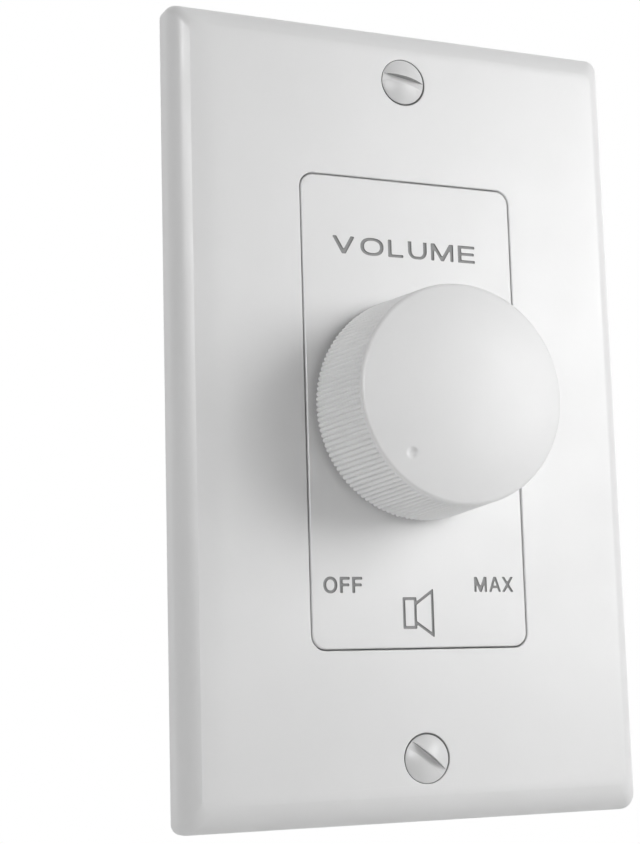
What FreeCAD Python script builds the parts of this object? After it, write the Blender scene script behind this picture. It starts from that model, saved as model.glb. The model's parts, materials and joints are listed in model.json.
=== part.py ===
"""Wall volume control for a pair of loudspeakers: a one-gang wall plate with a turning knob.

Millimetres. +X is right and +Z is up as seen from the room, and +Y points into the wall.
The origin is where the knob's axis crosses the wall surface, so the plate's rim lies on Y = 0.
"""
import FreeCAD, Part

import os
import re

import Sketcher
from FreeCAD import Placement, Rotation, Vector

# Driving dimensions, kept in the document's spreadsheet
SIZES = {
    # Wall plate: the standard one-gang outline with a rectangular window
    "plate_width": 69.85,
    "plate_height": 114.3,
    "plate_depth": 6.5,
    "plate_wall": 2.2,
    "plate_corner": 1.5,
    "side_bevel": 3.0,
    "side_bevel_radius": 4.4,
    "end_bevel": 4.0,
    "end_bevel_radius": 5.2,
    "window_width": 33.5,
    "window_height": 67.0,
    "window_corner": 2.2,
    "window_edge": 0.2,
    "plate_screw_inset": 8.73,
    # Plate screws: slotted oval heads in countersunk holes
    "screw_radius": 1.75,
    "screw_clearance": 0.25,
    "screw_boss_wall": 1.4,
    "screw_length": 16.0,
    "screw_head_radius": 3.3,
    "screw_head_dome": 0.9,
    "screw_head_angle": 41.0,
    "screw_slot_width": 1.15,
    "screw_slot_depth": 0.85,
    "sink_clearance": 0.17,
    "top_slot_turn": 10.0,
    "bottom_slot_turn": 39.0,
    # Insert that fills the window
    "window_gap": 0.2,
    "insert_wall": 1.8,
    "insert_head_gap": 1.4,
    "insert_flange": 1.5,
    "insert_flange_gap": 0.4,
    "insert_edge": 0.25,
    "stake_radius": 1.1,
    "stake_head_radius": 1.8,
    "stake_head_height": 0.7,
    "stake_spacing": 40.0,
    # Steel mounting strap
    "strap_gap": 0.3,
    "strap_thickness": 1.2,
    "strap_side_margin": 0.95,
    "strap_end_gap": 2.45,
    "strap_corner": 4.0,
    "box_screw_inset": 6.75,
    "box_screw_hole_radius": 2.1,
    "thread_gap": 0.05,
    # Knob
    "knob_gap": 1.25,
    "knob_base_radius": 15.8,
    "knob_taper": 0.75,
    "knob_skirt": 13.6,
    "knob_dome": 1.7,
    "knob_shoulder_radius": 1.0,
    "knob_wall": 1.7,
    "knob_top_wall": 2.6,
    "knob_hub_radius": 5.0,
    "knob_hub_gap": 1.2,
    "knob_web_thickness": 1.0,
    "knob_web_recess": 4.4,
    "knob_web_count": 6,
    "knob_rib_count": 134,
    "knob_rib_depth": 0.32,
    "knob_plain_band": 0.7,
    "dimple_radius": 0.8,
    "dimple_depth": 0.35,
    "dimple_inset": 3.3,
    "rest_turn": 225.0,
    # Leaf clip that grips the shaft's flat inside the hub
    "clip_width": 4.0,
    "clip_thickness": 0.4,
    "clip_length": 8.0,
    "clip_gap": 0.05,
    # Shaft
    "shaft_radius": 3.0,
    "shaft_flat": 1.5,
    "shaft_end_radius": 2.0,
    "shaft_gap": 0.05,
    "press_gap": 0.02,
    "ring_thickness": 0.5,
    "ring_radius": 4.6,
    "ring_groove_radius": 2.3,
    "ring_gap": 0.05,
    "ring_play": 0.3,
    # Threaded bushing, nut and washer
    "bushing_radius": 4.5,
    "bushing_length": 6.7,
    "bushing_hole_gap": 0.15,
    "nut_flats": 12.0,
    "nut_thickness": 2.0,
    "nut_hole_gap": 0.4,
    "washer_radius": 6.4,
    "washer_thickness": 0.5,
    "washer_tooth_count": 12,
    "washer_tooth": 0.7,
    # Rotary switch
    "housing_radius": 13.5,
    "housing_wall": 1.9,
    "housing_front": 1.5,
    "housing_depth": 10.3,
    "base_thickness": 2.0,
    "step_count": 12,
    "position_count": 10,
    "notch_radius": 1.6,
    "notch_depth": 0.6,
    "peg_radius": 1.0,
    "peg_inset": 3.0,
    "rivet_radius": 0.6,
    "rivet_head_radius": 0.9,
    "rivet_head_height": 0.5,
    "rivet_length": 4.0,
    "rivet_count": 3,
    "rotor_gap": 0.4,
    "rotor_front_gap": 0.8,
    "ball_radius": 1.5,
    "ball_gap": 0.15,
    "ball_hole_gap": 0.1,
    "spring_radius": 1.3,
    "spring_wire": 0.45,
    "spring_seat": 5.0,
    "contact_edge_gap": 1.8,
    "pole_step": 2.9,
    "ring_inset": 1.5,
    "contact_radius": 0.75,
    "contact_height": 0.3,
    "contact_ring_width": 0.6,
    "contact_pin_radius": 0.4,
    "wiper_gap": 0.05,
    "wiper_thickness": 0.4,
    "wiper_width": 1.2,
    "wiper_overhang": 0.4,
    "wiper_post": 0.65,
    # Circuit board and its standoffs
    "board_gap": 3.2,
    "standoff_flats": 5.0,
    "standoff_side_gap": 0.15,
    "standoff_end_gap": 1.9,
    "standoff_bottom": -19.0,
    "board_screw_radius": 1.5,
    "board_screw_head_radius": 2.6,
    "board_screw_head_height": 1.6,
    "board_screw_length": 6.0,
    "board_screw_slot": 0.7,
    "hole_clearance": 0.15,
    "board_side_gap": 0.94,
    "board_thickness": 1.6,
    "board_corner": 1.5,
    "pin_tail": 1.2,
    "pin_hole_gap": 0.1,
    # Two step-down autotransformers, side by side
    "core_gap": 0.8,
    "core_centre_height": 3.5,
    "core_lift": 2.0,
    "core_stack": 10.0,
    "core_leg": 11.0,
    "core_side_leg": 5.5,
    "core_window": 5.6,
    "core_window_length": 18.0,
    "bobbin_gap": 0.2,
    "bobbin_wall": 0.8,
    "bobbin_flange": 1.0,
    "coil_gap": 0.8,
    "coil_corner": 2.0,
    "tape_thickness": 0.3,
    "bobbin_foot_margin": 4.0,
    "bobbin_nib": 1.2,
    "bobbin_nib_gap": 0.4,
    "bobbin_pin_inset": 1.0,
    "bobbin_pin_count": 5,
    "bobbin_pin_pitch": 5.0,
    "bobbin_pin_radius": 0.4,
    "clamp_thickness": 0.8,
    "clamp_width": 9.0,
    "clamp_tab": 1.8,
    "clamp_slot_gap": 0.2,
    # Plug-in wire terminals
    "pole_count": 4,
    "pole_pitch": 5.08,
    "header_gap": 1.08,
    "header_screw_gap": 1.5,
    "header_edge_gap": 0.5,
    "header_margin": 1.2,
    "header_thickness": 12.4,
    "header_depth": 9.2,
    "header_wall": 0.8,
    "header_floor": 1.2,
    "header_pin": 1.0,
    "header_pin_reach": 8.2,
    "plug_gap": 0.2,
    "plug_depth": 9.8,
    "plug_shoulder_gap": 0.2,
    "plug_margin": 0.3,
    "plug_thickness": 11.6,
    "socket_gap": 0.15,
    "cage_outside": 3.9,
    "cage_inside": 2.9,
    "cage_length": 7.0,
    "cage_recess": 1.4,
    "cage_gap": 0.05,
    "clamp_screw_radius": 1.4,
    "clamp_screw_length": 4.4,
    "clamp_screw_recess": 0.5,
    "clamp_screw_slot": 0.5,
    # Impedance selector: a three-position slide switch
    "selector_width": 13.0,
    "selector_thickness": 4.6,
    "selector_depth": 4.2,
    "selector_screw_gap": 1.0,
    "selector_edge_gap": 0.8,
    "selector_travel": 4.0,
    "selector_wall": 0.9,
    "selector_tab_width": 2.6,
    "selector_tab_thickness": 1.5,
    "selector_tab_height": 2.6,
    "selector_foot_width": 4.6,
    "selector_foot_height": 1.5,
    "selector_gap": 0.15,
    "selector_pin_pitch": 4.0,
    "selector_pin_radius": 0.35,
}

# Places and sizes that follow from the driving dimensions
PLACES = {
    "face": "-plate_depth",
    "plate_inside": "face + plate_wall",
    "side_bevel_start": "face + sqrt(side_bevel * (2 * side_bevel_radius - side_bevel))",
    "end_bevel_start": "face + sqrt(end_bevel * (2 * end_bevel_radius - end_bevel))",
    "plate_screw_spacing": "plate_height - 2 * plate_screw_inset",
    "strap_back": "-strap_gap",
    "strap_front": "strap_back - strap_thickness",
    "screw_hole_radius": "screw_radius + screw_clearance",
    "screw_boss_radius": "screw_hole_radius + screw_boss_wall",
    "sink_radius": "screw_head_radius + sink_clearance",
    "sink_depth": "(sink_radius - screw_hole_radius) / tan(screw_head_angle * 1 deg)",
    "head_cone": "(screw_head_radius - screw_radius) / tan(screw_head_angle * 1 deg)",
    "head_ball": "(screw_head_radius ^ 2 + screw_head_dome ^ 2) / (2 * screw_head_dome)",
    "box_screw_spacing": "plate_screw_spacing - 2 * box_screw_inset",
    "strap_width": "insert_width + 2 * insert_flange + 2 * strap_side_margin",
    "strap_height": "plate_height - 2 * plate_wall - 2 * strap_end_gap",
    "insert_width": "window_width - 2 * window_gap",
    "insert_height": "window_height - 2 * window_gap",
    "insert_inside": "strap_front - board_screw_head_height - insert_head_gap",
    "flange_front": "plate_inside + insert_flange_gap",
    "stake_across": "insert_width - insert_wall + insert_flange",
    "stake_hole_radius": "stake_radius + thread_gap",
    "knob_back": "face - knob_gap",
    "knob_edge": "knob_back - knob_skirt",
    "knob_tip": "knob_edge - knob_dome",
    "knob_inside": "knob_edge + knob_top_wall - knob_dome",
    "knob_top_radius": "knob_base_radius - knob_taper",
    "knob_hollow_radius": "knob_top_radius - knob_wall",
    "dome_radius": "(knob_top_radius ^ 2 + knob_dome ^ 2) / (2 * knob_dome)",
    "dimple_place": "knob_top_radius - dimple_inset",
    "dimple_ball": "(dimple_radius ^ 2 + dimple_depth ^ 2) / (2 * dimple_depth)",
    "dimple_surface": "knob_tip + dome_radius - sqrt(dome_radius ^ 2 - dimple_place ^ 2)",
    "bushing_front": "strap_back - bushing_length",
    "ring_back": "bushing_front - ring_play",
    "ring_front": "ring_back - ring_thickness",
    "hub_back": "ring_front - knob_hub_gap",
    "bore_front": "knob_inside + ring_play",
    "shaft_front": "bore_front + ring_play",
    "nut_back": "strap_front - washer_thickness",
    "nut_front": "nut_back - nut_thickness",
    "nut_corner": "nut_flats / sqrt(3)",
    "insert_hole_radius": "nut_corner + nut_hole_gap",
    "housing_inside": "strap_back + housing_front",
    "housing_back": "strap_back + housing_depth",
    "base_back": "housing_back + base_thickness",
    "peg_place": "housing_radius - peg_inset",
    "track_radius": "housing_radius - housing_wall",
    "step_angle": "(360 / step_count)",
    "outer_contact_circle": "track_radius - contact_edge_gap",
    "inner_contact_circle": "outer_contact_circle - pole_step",
    "outer_ring_circle": "outer_contact_circle - ring_inset",
    "inner_ring_circle": "inner_contact_circle - ring_inset",
    "notch_circle": "track_radius + notch_depth - notch_radius",
    "rivet_circle": "housing_radius - housing_wall / 2",
    "rotor_radius": "track_radius - rotor_gap",
    "rotor_front": "housing_inside + rotor_front_gap",
    "rotor_back": "wiper_front - wiper_post",
    "ball_place": "track_radius - ball_radius - ball_gap",
    "ball_height": "(rotor_front + rotor_back) / 2",
    "contact_front": "housing_back - contact_height",
    "wiper_back": "contact_front - wiper_gap",
    "wiper_front": "wiper_back - wiper_thickness",
    "standoff_spread": "insert_width - 2 * (insert_wall + board_screw_head_radius + standoff_side_gap)",
    "standoff_top": "insert_height / 2 - insert_wall - board_screw_head_radius - standoff_end_gap",
    "board_front": "base_back + board_gap",
    "board_back": "board_front + board_thickness",
    "board_top": "selector_height_place + selector_thickness / 2 + selector_edge_gap",
    "board_bottom": "header_height_place - header_thickness / 2 - header_edge_gap",
    "board_width": "header_spread + header_width + 2 * board_side_gap",
    "board_hole_radius": "board_screw_radius + hole_clearance",
    "pin_end": "board_front - pin_tail",
    "core_front": "board_back + core_lift",
    "core_height": "core_leg + 2 * core_window + 2 * core_side_leg",
    "core_spread": "2 * foot_outside + core_gap",
    "window_front": "core_front + core_side_leg",
    "window_back": "window_front + core_window_length",
    "core_back": "window_back + core_side_leg",
    "bobbin_half_x": "core_stack / 2 + bobbin_gap",
    "bobbin_half_z": "core_leg / 2 + bobbin_gap",
    "coil_front": "window_front + bobbin_gap + bobbin_flange",
    "coil_back": "window_back - bobbin_gap - bobbin_flange",
    "coil_thickness": "core_window - bobbin_gap - bobbin_wall - coil_gap",
    "bobbin_foot_length": "(bobbin_pin_count - 1) * bobbin_pin_pitch + bobbin_foot_margin",
    "foot_inside": "core_stack / 2 + bobbin_gap",
    "foot_outside": "bobbin_half_x + bobbin_wall + coil_thickness",
    "foot_pin": "foot_inside + bobbin_pin_inset",
    "foot_front": "board_back + pin_tail + bobbin_nib_gap",
    "header_width": "pole_count * pole_pitch + header_margin",
    "header_spread": "header_width + header_gap",
    "header_height_place":
        "standoff_bottom - board_screw_head_radius - header_screw_gap - header_thickness / 2",
    "header_inside": "board_back + header_floor",
    "header_back": "board_back + header_depth",
    "plug_nose_width": "header_width - 2 * header_wall - 2 * plug_gap",
    "plug_nose_thickness": "header_thickness - 2 * header_wall - 2 * plug_gap",
    "plug_front": "header_inside + plug_gap",
    "plug_shoulder": "header_back + plug_shoulder_gap",
    "plug_back": "plug_shoulder + plug_depth",
    "plug_width": "pole_count * pole_pitch + plug_margin",
    "pin_reach": "board_back + header_pin_reach",
    "cage_back": "plug_back - cage_recess",
    "cage_front": "cage_back - cage_length",
    "clamp_screw_place": "(cage_front + cage_back) / 2",
    "clamp_screw_low": "header_height_place - plug_thickness / 2 + clamp_screw_recess",
    "selector_height_place":
        "standoff_top + board_screw_head_radius + selector_screw_gap + selector_thickness / 2",
    "selector_back": "board_back + selector_depth",
    "selector_rest": "-selector_travel / 2",
    "selector_foot_back": "selector_back - selector_wall - selector_gap",
}

PARTS_FOLDER = "parts"
TURN_AXIS = Vector(0, 1, 0)
AXIS_TURNS = {
    "x": Rotation(Vector(0, 1, 0), 90),
    "y": Rotation(Vector(1, 0, 0), -90),
    "z": Rotation(),
}
WORD = re.compile(r"[a-z]+(?:_[a-z]+)+|face")

doc = FreeCAD.newDocument("wall_volume_control")
sheet = doc.addObject("Spreadsheet::Sheet", "Sizes")
for row, (alias, number) in enumerate(SIZES.items(), start=1):
    sheet.set(f"A{row}", alias)
    sheet.set(f"B{row}", str(number))
    sheet.setAlias(f"B{row}", alias)
doc.recompute()
nodes = []


def formula(text):
    """Turn named sizes and places into references to the spreadsheet's cells."""

    def expand(match):
        word = match.group(0)
        if word in PLACES:
            return f"({formula(PLACES[word])})"
        return f"Sizes.{word}"

    return WORD.sub(expand, text)


def value(text):
    """The number that a formula gives now."""
    return float(sheet.evalExpression(formula(text)))


def bind(obj, setting, text):
    obj.setExpression(setting, formula(text))


def keep(obj, node):
    """Hand an object in as the node of that name."""
    obj.Label = node
    nodes.append(obj)
    return obj


# Part primitives, each placed by the formulas of its faces or its axis


def box(x, y, z):
    """A block between pairs of low and high faces."""
    obj = doc.addObject("Part::Box", "Block")
    for side, axis, (low, high) in zip(("Length", "Width", "Height"), "xyz", (x, y, z)):
        bind(obj, side, f"({high}) - ({low})")
        bind(obj, f"Placement.Base.{axis}", low)
    return obj


def place_round(obj, axis, low, across):
    """Put a round primitive's foot at low along its axis, with its centre at the pair across."""
    obj.Placement = Placement(Vector(), AXIS_TURNS[axis])
    others = [letter for letter in "xyz" if letter != axis]
    bind(obj, f"Placement.Base.{axis}", low)
    for letter, place in zip(others, across):
        bind(obj, f"Placement.Base.{letter}", place)
    return obj


def rod(radius, low, high, across=("0", "0"), axis="y"):
    obj = doc.addObject("Part::Cylinder", "Rod")
    bind(obj, "Radius", radius)
    bind(obj, "Height", f"({high}) - ({low})")
    return place_round(obj, axis, low, across)


def cone(low_radius, high_radius, low, high, across=("0", "0"), axis="y"):
    obj = doc.addObject("Part::Cone", "Cone")
    bind(obj, "Radius1", low_radius)
    bind(obj, "Radius2", high_radius)
    bind(obj, "Height", f"({high}) - ({low})")
    return place_round(obj, axis, low, across)


def ball(radius, x, y, z):
    obj = doc.addObject("Part::Sphere", "Ball")
    bind(obj, "Radius", radius)
    for letter, place in zip("xyz", (x, y, z)):
        bind(obj, f"Placement.Base.{letter}", place)
    return obj


def hexagon(flats, low, high, across=("0", "0")):
    """A six-sided bar along Y, as wide across its flats as stated."""
    obj = doc.addObject("Part::Prism", "Hexagon")
    obj.Polygon = 6
    bind(obj, "Circumradius", f"({flats}) / sqrt(3)")
    bind(obj, "Height", f"({high}) - ({low})")
    return place_round(obj, "y", low, across)


def fuse(*pieces):
    obj = doc.addObject("Part::MultiFuse", "Joined")
    obj.Shapes = list(pieces)
    return obj


def common(first, second):
    obj = doc.addObject("Part::MultiCommon", "Shared")
    obj.Shapes = [first, second]
    return obj


def cut(base, *tools):
    obj = doc.addObject("Part::Cut", "Cut")
    obj.Base = base
    obj.Tool = tools[0] if len(tools) == 1 else fuse(*tools)
    return obj


def group(*pieces):
    """Separate solids that share one node."""
    obj = doc.addObject("Part::Compound", "Set")
    obj.Links = list(pieces)
    return obj


def move(obj, x="0", y="0", z="0"):
    for letter, place in zip("xyz", (x, y, z)):
        bind(obj, f"Placement.Base.{letter}", place)
    return obj


def turn(obj, angle):
    """Turn an object about the Y direction, clockwise as seen from the room."""
    obj.Placement = Placement(obj.Placement.Base, Rotation(TURN_AXIS, 1))
    bind(obj, "Placement.Rotation.Angle", angle)
    return obj


# Bodies built from sketches


def new_body(name):
    return doc.addObject("PartDesign::Body", f"{name}_body")


def origin_item(body, role):
    return next(item for item in body.Origin.OriginFeatures if item.Role == role)


def new_sketch(body, plane="XZ_Plane", height="0"):
    """A sketch on an origin plane, lifted along the plane's normal."""
    sketch = body.newObject("Sketcher::SketchObject", "Sketch")
    sketch.AttachmentSupport = [(origin_item(body, plane), "")]
    sketch.MapMode = "FlatFace"
    bind(sketch, "AttachmentOffset.Base.z", height)
    return sketch


def fix_point(sketch, geometry, point, x, y):
    for kind, text in (("DistanceX", x), ("DistanceY", y)):
        rule = Sketcher.Constraint(kind, -1, 1, geometry, point, value(text))
        index = sketch.addConstraint(rule)
        bind(sketch, f"Constraints[{index}]", text)


def draw_circle(sketch, radius, x="0", y="0"):
    centre = Vector(value(x), value(y), 0)
    index = sketch.addGeometry(Part.Circle(centre, Vector(0, 0, 1), value(radius)))
    rule = sketch.addConstraint(Sketcher.Constraint("Radius", index, value(radius)))
    bind(sketch, f"Constraints[{rule}]", radius)
    fix_point(sketch, index, 3, x, y)


def draw_outline(sketch, corners, arcs=()):
    """A closed outline through corners; arcs maps an edge's number to its radius and centre."""
    arcs = dict(arcs)
    points = [Vector(value(x), value(y), 0) for x, y in corners]
    count = len(points)
    ends = []
    for number, start in enumerate(points):
        end = points[(number + 1) % count]
        if number not in arcs:
            index = sketch.addGeometry(Part.LineSegment(start, end))
            ends.append((index, 1, 2))
            continue
        radius, centre_x, centre_y = arcs[number]
        centre = Vector(value(centre_x), value(centre_y), 0)
        towards = (start + end) * 0.5 - centre
        middle = centre + towards.normalize() * value(radius)
        index = sketch.addGeometry(Part.Arc(start, middle, end))
        # A sketch keeps each arc anticlockwise, so its first point may be this edge's end
        anticlockwise = (start - centre).cross(end - centre).z > 0
        ends.append((index, 1, 2) if anticlockwise else (index, 2, 1))
        rule = sketch.addConstraint(Sketcher.Constraint("Radius", index, value(radius)))
        bind(sketch, f"Constraints[{rule}]", radius)
    for number in range(count):
        index, _, last = ends[number]
        after, first, _ = ends[(number + 1) % count]
        sketch.addConstraint(Sketcher.Constraint("Coincident", index, last, after, first))
    for number, (x, y) in enumerate(corners):
        index, first, _ = ends[number]
        fix_point(sketch, index, first, x, y)


def draw_rectangle(sketch, width, height, x="0", y="0", corner=None):
    """A rectangle centred on x, y, with rounded corners if a radius is given."""
    sides = [(-1, -1), (1, -1), (1, 1), (-1, 1)]
    if corner is None:
        draw_outline(
            sketch,
            [(f"({x}) + ({sx}) * ({width}) / 2", f"({y}) + ({sy}) * ({height}) / 2") for sx, sy in sides],
        )
        return
    corners = []
    arcs = {}
    for number, (sx, sy) in enumerate(sides):
        outer = f"({x}) + ({sx}) * ({width}) / 2", f"({y}) + ({sy}) * ({height}) / 2"
        inner = f"{outer[0]} - ({sx}) * ({corner})", f"{outer[1]} - ({sy}) * ({corner})"
        pair = [(outer[0], inner[1]), (inner[0], outer[1])]
        corners += pair if number % 2 == 0 else pair[::-1]
        arcs[2 * number] = (corner, *inner)
    draw_outline(sketch, corners, arcs)


def draw_dee(sketch, radius, flat):
    """A circle with its lowest part cut off by a flat."""
    half = f"sqrt(({radius}) ^ 2 - ({flat}) ^ 2)"
    top = [(f"-{half}", f"-({flat})"), (half, f"-({flat})"), ("0", radius)]
    draw_outline(sketch, top, {1: (radius, "0", "0"), 2: (radius, "0", "0")})


def add(body, front, back, draw):
    """Pad a drawing between two planes square to Y."""
    sketch = new_sketch(body, height=f"-({back})")
    draw(sketch)
    feature = body.newObject("PartDesign::Pad", "Pad")
    feature.Profile = sketch
    bind(feature, "Length", f"({back}) - ({front})")
    return feature


def take(body, front, back, draw):
    """Pocket a drawing between two planes square to Y."""
    sketch = new_sketch(body, height=f"-({back})")
    draw(sketch)
    feature = body.newObject("PartDesign::Pocket", "Pocket")
    feature.Profile = sketch
    feature.Reversed = True
    bind(feature, "Length", f"({back}) - ({front})")
    return feature


def take_across(body, plane, length, draw):
    """Pocket a drawing to both sides of an origin plane that holds the Y direction."""
    sketch = new_sketch(body, plane)
    draw(sketch)
    feature = body.newObject("PartDesign::Pocket", "Pocket")
    feature.Profile = sketch
    feature.Midplane = True
    bind(feature, "Length", length)
    return feature


def revolve(body, corners, arcs=()):
    """Turn an outline, given as pairs of radius and Y, about the Y axis."""
    sketch = new_sketch(body, "XY_Plane")
    draw_outline(sketch, corners, arcs)
    feature = body.newObject("PartDesign::Revolution", "Revolution")
    feature.Profile = sketch
    feature.ReferenceAxis = (sketch, ["V_Axis"])
    feature.Angle = 360
    return feature


def repeat(body, feature, count):
    """Repeat a feature round the Y axis."""
    pattern = body.newObject("PartDesign::PolarPattern", "PolarPattern")
    pattern.Originals = [feature]
    pattern.Axis = (origin_item(body, "Y_Axis"), [""])
    pattern.Angle = 360
    bind(pattern, "Occurrences", count)
    body.Tip = pattern
    return pattern


def loft_away(body, sections):
    """Cut a straight loft between sketches, each given as its Y place and drawing."""
    sketches = []
    for place, draw in sections:
        sketch = new_sketch(body, height=f"-({place})")
        draw(sketch)
        sketches.append(sketch)
    feature = body.newObject("PartDesign::SubtractiveLoft", "Loft")
    feature.Profile = sketches[0]
    feature.Sections = sketches[1:]
    feature.Ruled = True
    return feature


def edges_where(feature, wanted):
    """Names of the feature's edges that pass a test."""
    doc.recompute()
    return [
        f"Edge{number}"
        for number, edge in enumerate(feature.Shape.Edges, start=1)
        if wanted(edge)
    ]


def round_edges(body, feature, radius, wanted):
    names = edges_where(feature, wanted)
    rounding = body.newObject("PartDesign::Fillet", "Fillet")
    rounding.Base = (feature, names)
    bind(rounding, "Radius", radius)
    return rounding


def on_plane(edge, height, tolerance=1e-4):
    """Whether an edge lies in the plane Y = height."""
    bounds = edge.BoundBox
    return abs(bounds.YMin - height) < tolerance and abs(bounds.YMax - height) < tolerance


# Wall plate, its screws and the insert in its window


def wall_plate():
    body = new_body("wall_plate")
    add(
        body, "face", "0",
        lambda s: draw_rectangle(s, "plate_width", "plate_height", corner="plate_corner"),
    )

    def bevel(sketch, half, inset, radius, start, swap):
        for side in (-1, 1):
            corners = [
                (f"({side}) * ({half} - {inset})", "face"),
                (f"({side}) * ({half})", start),
                (f"({side}) * ({half} + {inset})", start),
                (f"({side}) * ({half} + {inset})", f"face - {inset}"),
                (f"({side}) * ({half} - {inset})", f"face - {inset}"),
            ]
            centre = (f"({side}) * ({half} - {radius})", start)
            if swap:
                corners = [(y, x) for x, y in corners]
                centre = centre[::-1]
            draw_outline(sketch, corners, {0: (radius, *centre)})

    take_across(
        body, "XY_Plane", "2 * plate_height",
        lambda s: bevel(s, "plate_width / 2", "side_bevel", "side_bevel_radius", "side_bevel_start", False),
    )
    take_across(
        body, "YZ_Plane", "2 * plate_width",
        lambda s: bevel(s, "plate_height / 2", "end_bevel", "end_bevel_radius", "end_bevel_start", True),
    )
    take(
        body, "plate_inside", "0",
        lambda s: draw_rectangle(s, "plate_width - 2 * plate_wall", "plate_height - 2 * plate_wall"),
    )
    add(body, "plate_inside", "strap_front", lambda s: draw_screw_places(s, "screw_boss_radius"))
    take(
        body, "face", "0",
        lambda s: draw_rectangle(s, "window_width", "window_height", corner="window_corner"),
    )
    last = take(body, "face", "0", lambda s: draw_screw_places(s, "screw_hole_radius"))
    for side in (-1, 1):
        centre = f"({side}) * plate_screw_spacing / 2"
        last = loft_away(
            body,
            [
                ("face", lambda s: draw_circle(s, "sink_radius", "0", centre)),
                ("face + sink_depth", lambda s: draw_circle(s, "screw_hole_radius", "0", centre)),
            ],
        )
    front = value("face")
    reach = value("window_height / 2") + 0.01
    round_edges(
        body, last, "window_edge",
        lambda e: on_plane(e, front) and max(abs(e.BoundBox.ZMin), abs(e.BoundBox.ZMax)) < reach,
    )
    keep(body, "wall_plate")


def draw_screw_places(sketch, radius):
    for side in (-1, 1):
        draw_circle(sketch, radius, "0", f"({side}) * plate_screw_spacing / 2")


def plate_screws():
    screws = []
    for side, slot_turn in ((1, "top_slot_turn"), (-1, "bottom_slot_turn")):
        shank = rod("screw_radius", "face + head_cone", "face + screw_length")
        head = cone("screw_head_radius", "screw_radius", "face", "face + head_cone")
        dome = common(
            ball("head_ball", "0", "face - screw_head_dome + head_ball", "0"),
            rod("screw_head_radius", "face - 2 * screw_head_dome", "face"),
        )
        slot = box(
            ("-2 * screw_head_radius", "2 * screw_head_radius"),
            ("face - 2 * screw_head_dome", "face - screw_head_dome + screw_slot_depth"),
            ("-screw_slot_width / 2", "screw_slot_width / 2"),
        )
        screw = turn(cut(fuse(shank, head, dome), slot), slot_turn)
        screws.append(move(screw, z=f"({side}) * plate_screw_spacing / 2"))
    keep(group(*screws), "plate_screws")


def insert():
    body = new_body("insert")
    add(
        body, "face", "strap_front",
        lambda s: draw_rectangle(s, "insert_width", "insert_height", corner="window_corner - window_gap"),
    )
    add(
        body, "flange_front", "strap_front",
        lambda s: draw_rectangle(
            s, "insert_width + 2 * insert_flange", "insert_height + 2 * insert_flange",
            corner="window_corner",
        ),
    )
    take(
        body, "insert_inside", "strap_front",
        lambda s: draw_rectangle(s, "insert_width - 2 * insert_wall", "insert_height - 2 * insert_wall"),
    )
    add(body, "strap_front", "strap_back", lambda s: draw_stakes(s, "stake_radius"))
    add(
        body, "strap_back", "strap_back + stake_head_height",
        lambda s: draw_stakes(s, "stake_head_radius"),
    )
    hole = take(body, "face", "strap_front", lambda s: draw_circle(s, "insert_hole_radius"))
    front = value("face")
    reach = value("insert_hole_radius") + 1
    round_edges(
        body, hole, "insert_edge",
        lambda e: on_plane(e, front) and e.BoundBox.DiagonalLength > 0.1
        and (abs(e.CenterOfMass.z) > reach or abs(e.CenterOfMass.x) > reach),
    )
    keep(body, "insert")


def draw_stakes(sketch, radius):
    for across in (-1, 1):
        for up in (-1, 1):
            draw_circle(sketch, radius, f"({across}) * stake_across / 2", f"({up}) * stake_spacing / 2")


# Mounting strap, nut and washer


def standoff_places():
    return [
        (f"({side}) * standoff_spread / 2", height)
        for side in (-1, 1)
        for height in ("standoff_bottom", "standoff_top")
    ]


def mounting_strap():
    body = new_body("mounting_strap")
    add(
        body, "strap_front", "strap_back",
        lambda s: draw_rectangle(s, "strap_width", "strap_height", corner="strap_corner"),
    )

    def holes(sketch):
        draw_circle(sketch, "bushing_radius + bushing_hole_gap")
        draw_circle(sketch, "peg_radius + thread_gap", "0", "peg_place")
        draw_screw_places(sketch, "screw_radius + thread_gap")
        draw_stakes(sketch, "stake_hole_radius")
        for side in (-1, 1):
            draw_circle(sketch, "box_screw_hole_radius", "0", f"({side}) * box_screw_spacing / 2")
        for x, z in standoff_places():
            draw_circle(sketch, "board_hole_radius", x, z)

    take(body, "strap_front", "strap_back", holes)
    keep(body, "mounting_strap")


def nut_and_washer():
    nut = cut(
        hexagon("nut_flats", "nut_front", "nut_back"),
        rod("bushing_radius + press_gap", "nut_front", "nut_back"),
    )
    keep(nut, "bushing_nut")
    body = new_body("lock_washer")
    add(body, "nut_back", "strap_front", lambda s: draw_circle(s, "washer_radius"))
    take(body, "nut_back", "strap_front", lambda s: draw_circle(s, "bushing_radius + bushing_hole_gap"))
    gap = take(
        body, "nut_back", "strap_front",
        lambda s: draw_rectangle(s, "washer_tooth", "2 * washer_tooth", y="washer_radius"),
    )
    repeat(body, gap, "washer_tooth_count")
    keep(body, "lock_washer")


# Knob, clip and shaft, modelled with the pointer up and then turned to where they rest


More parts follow.
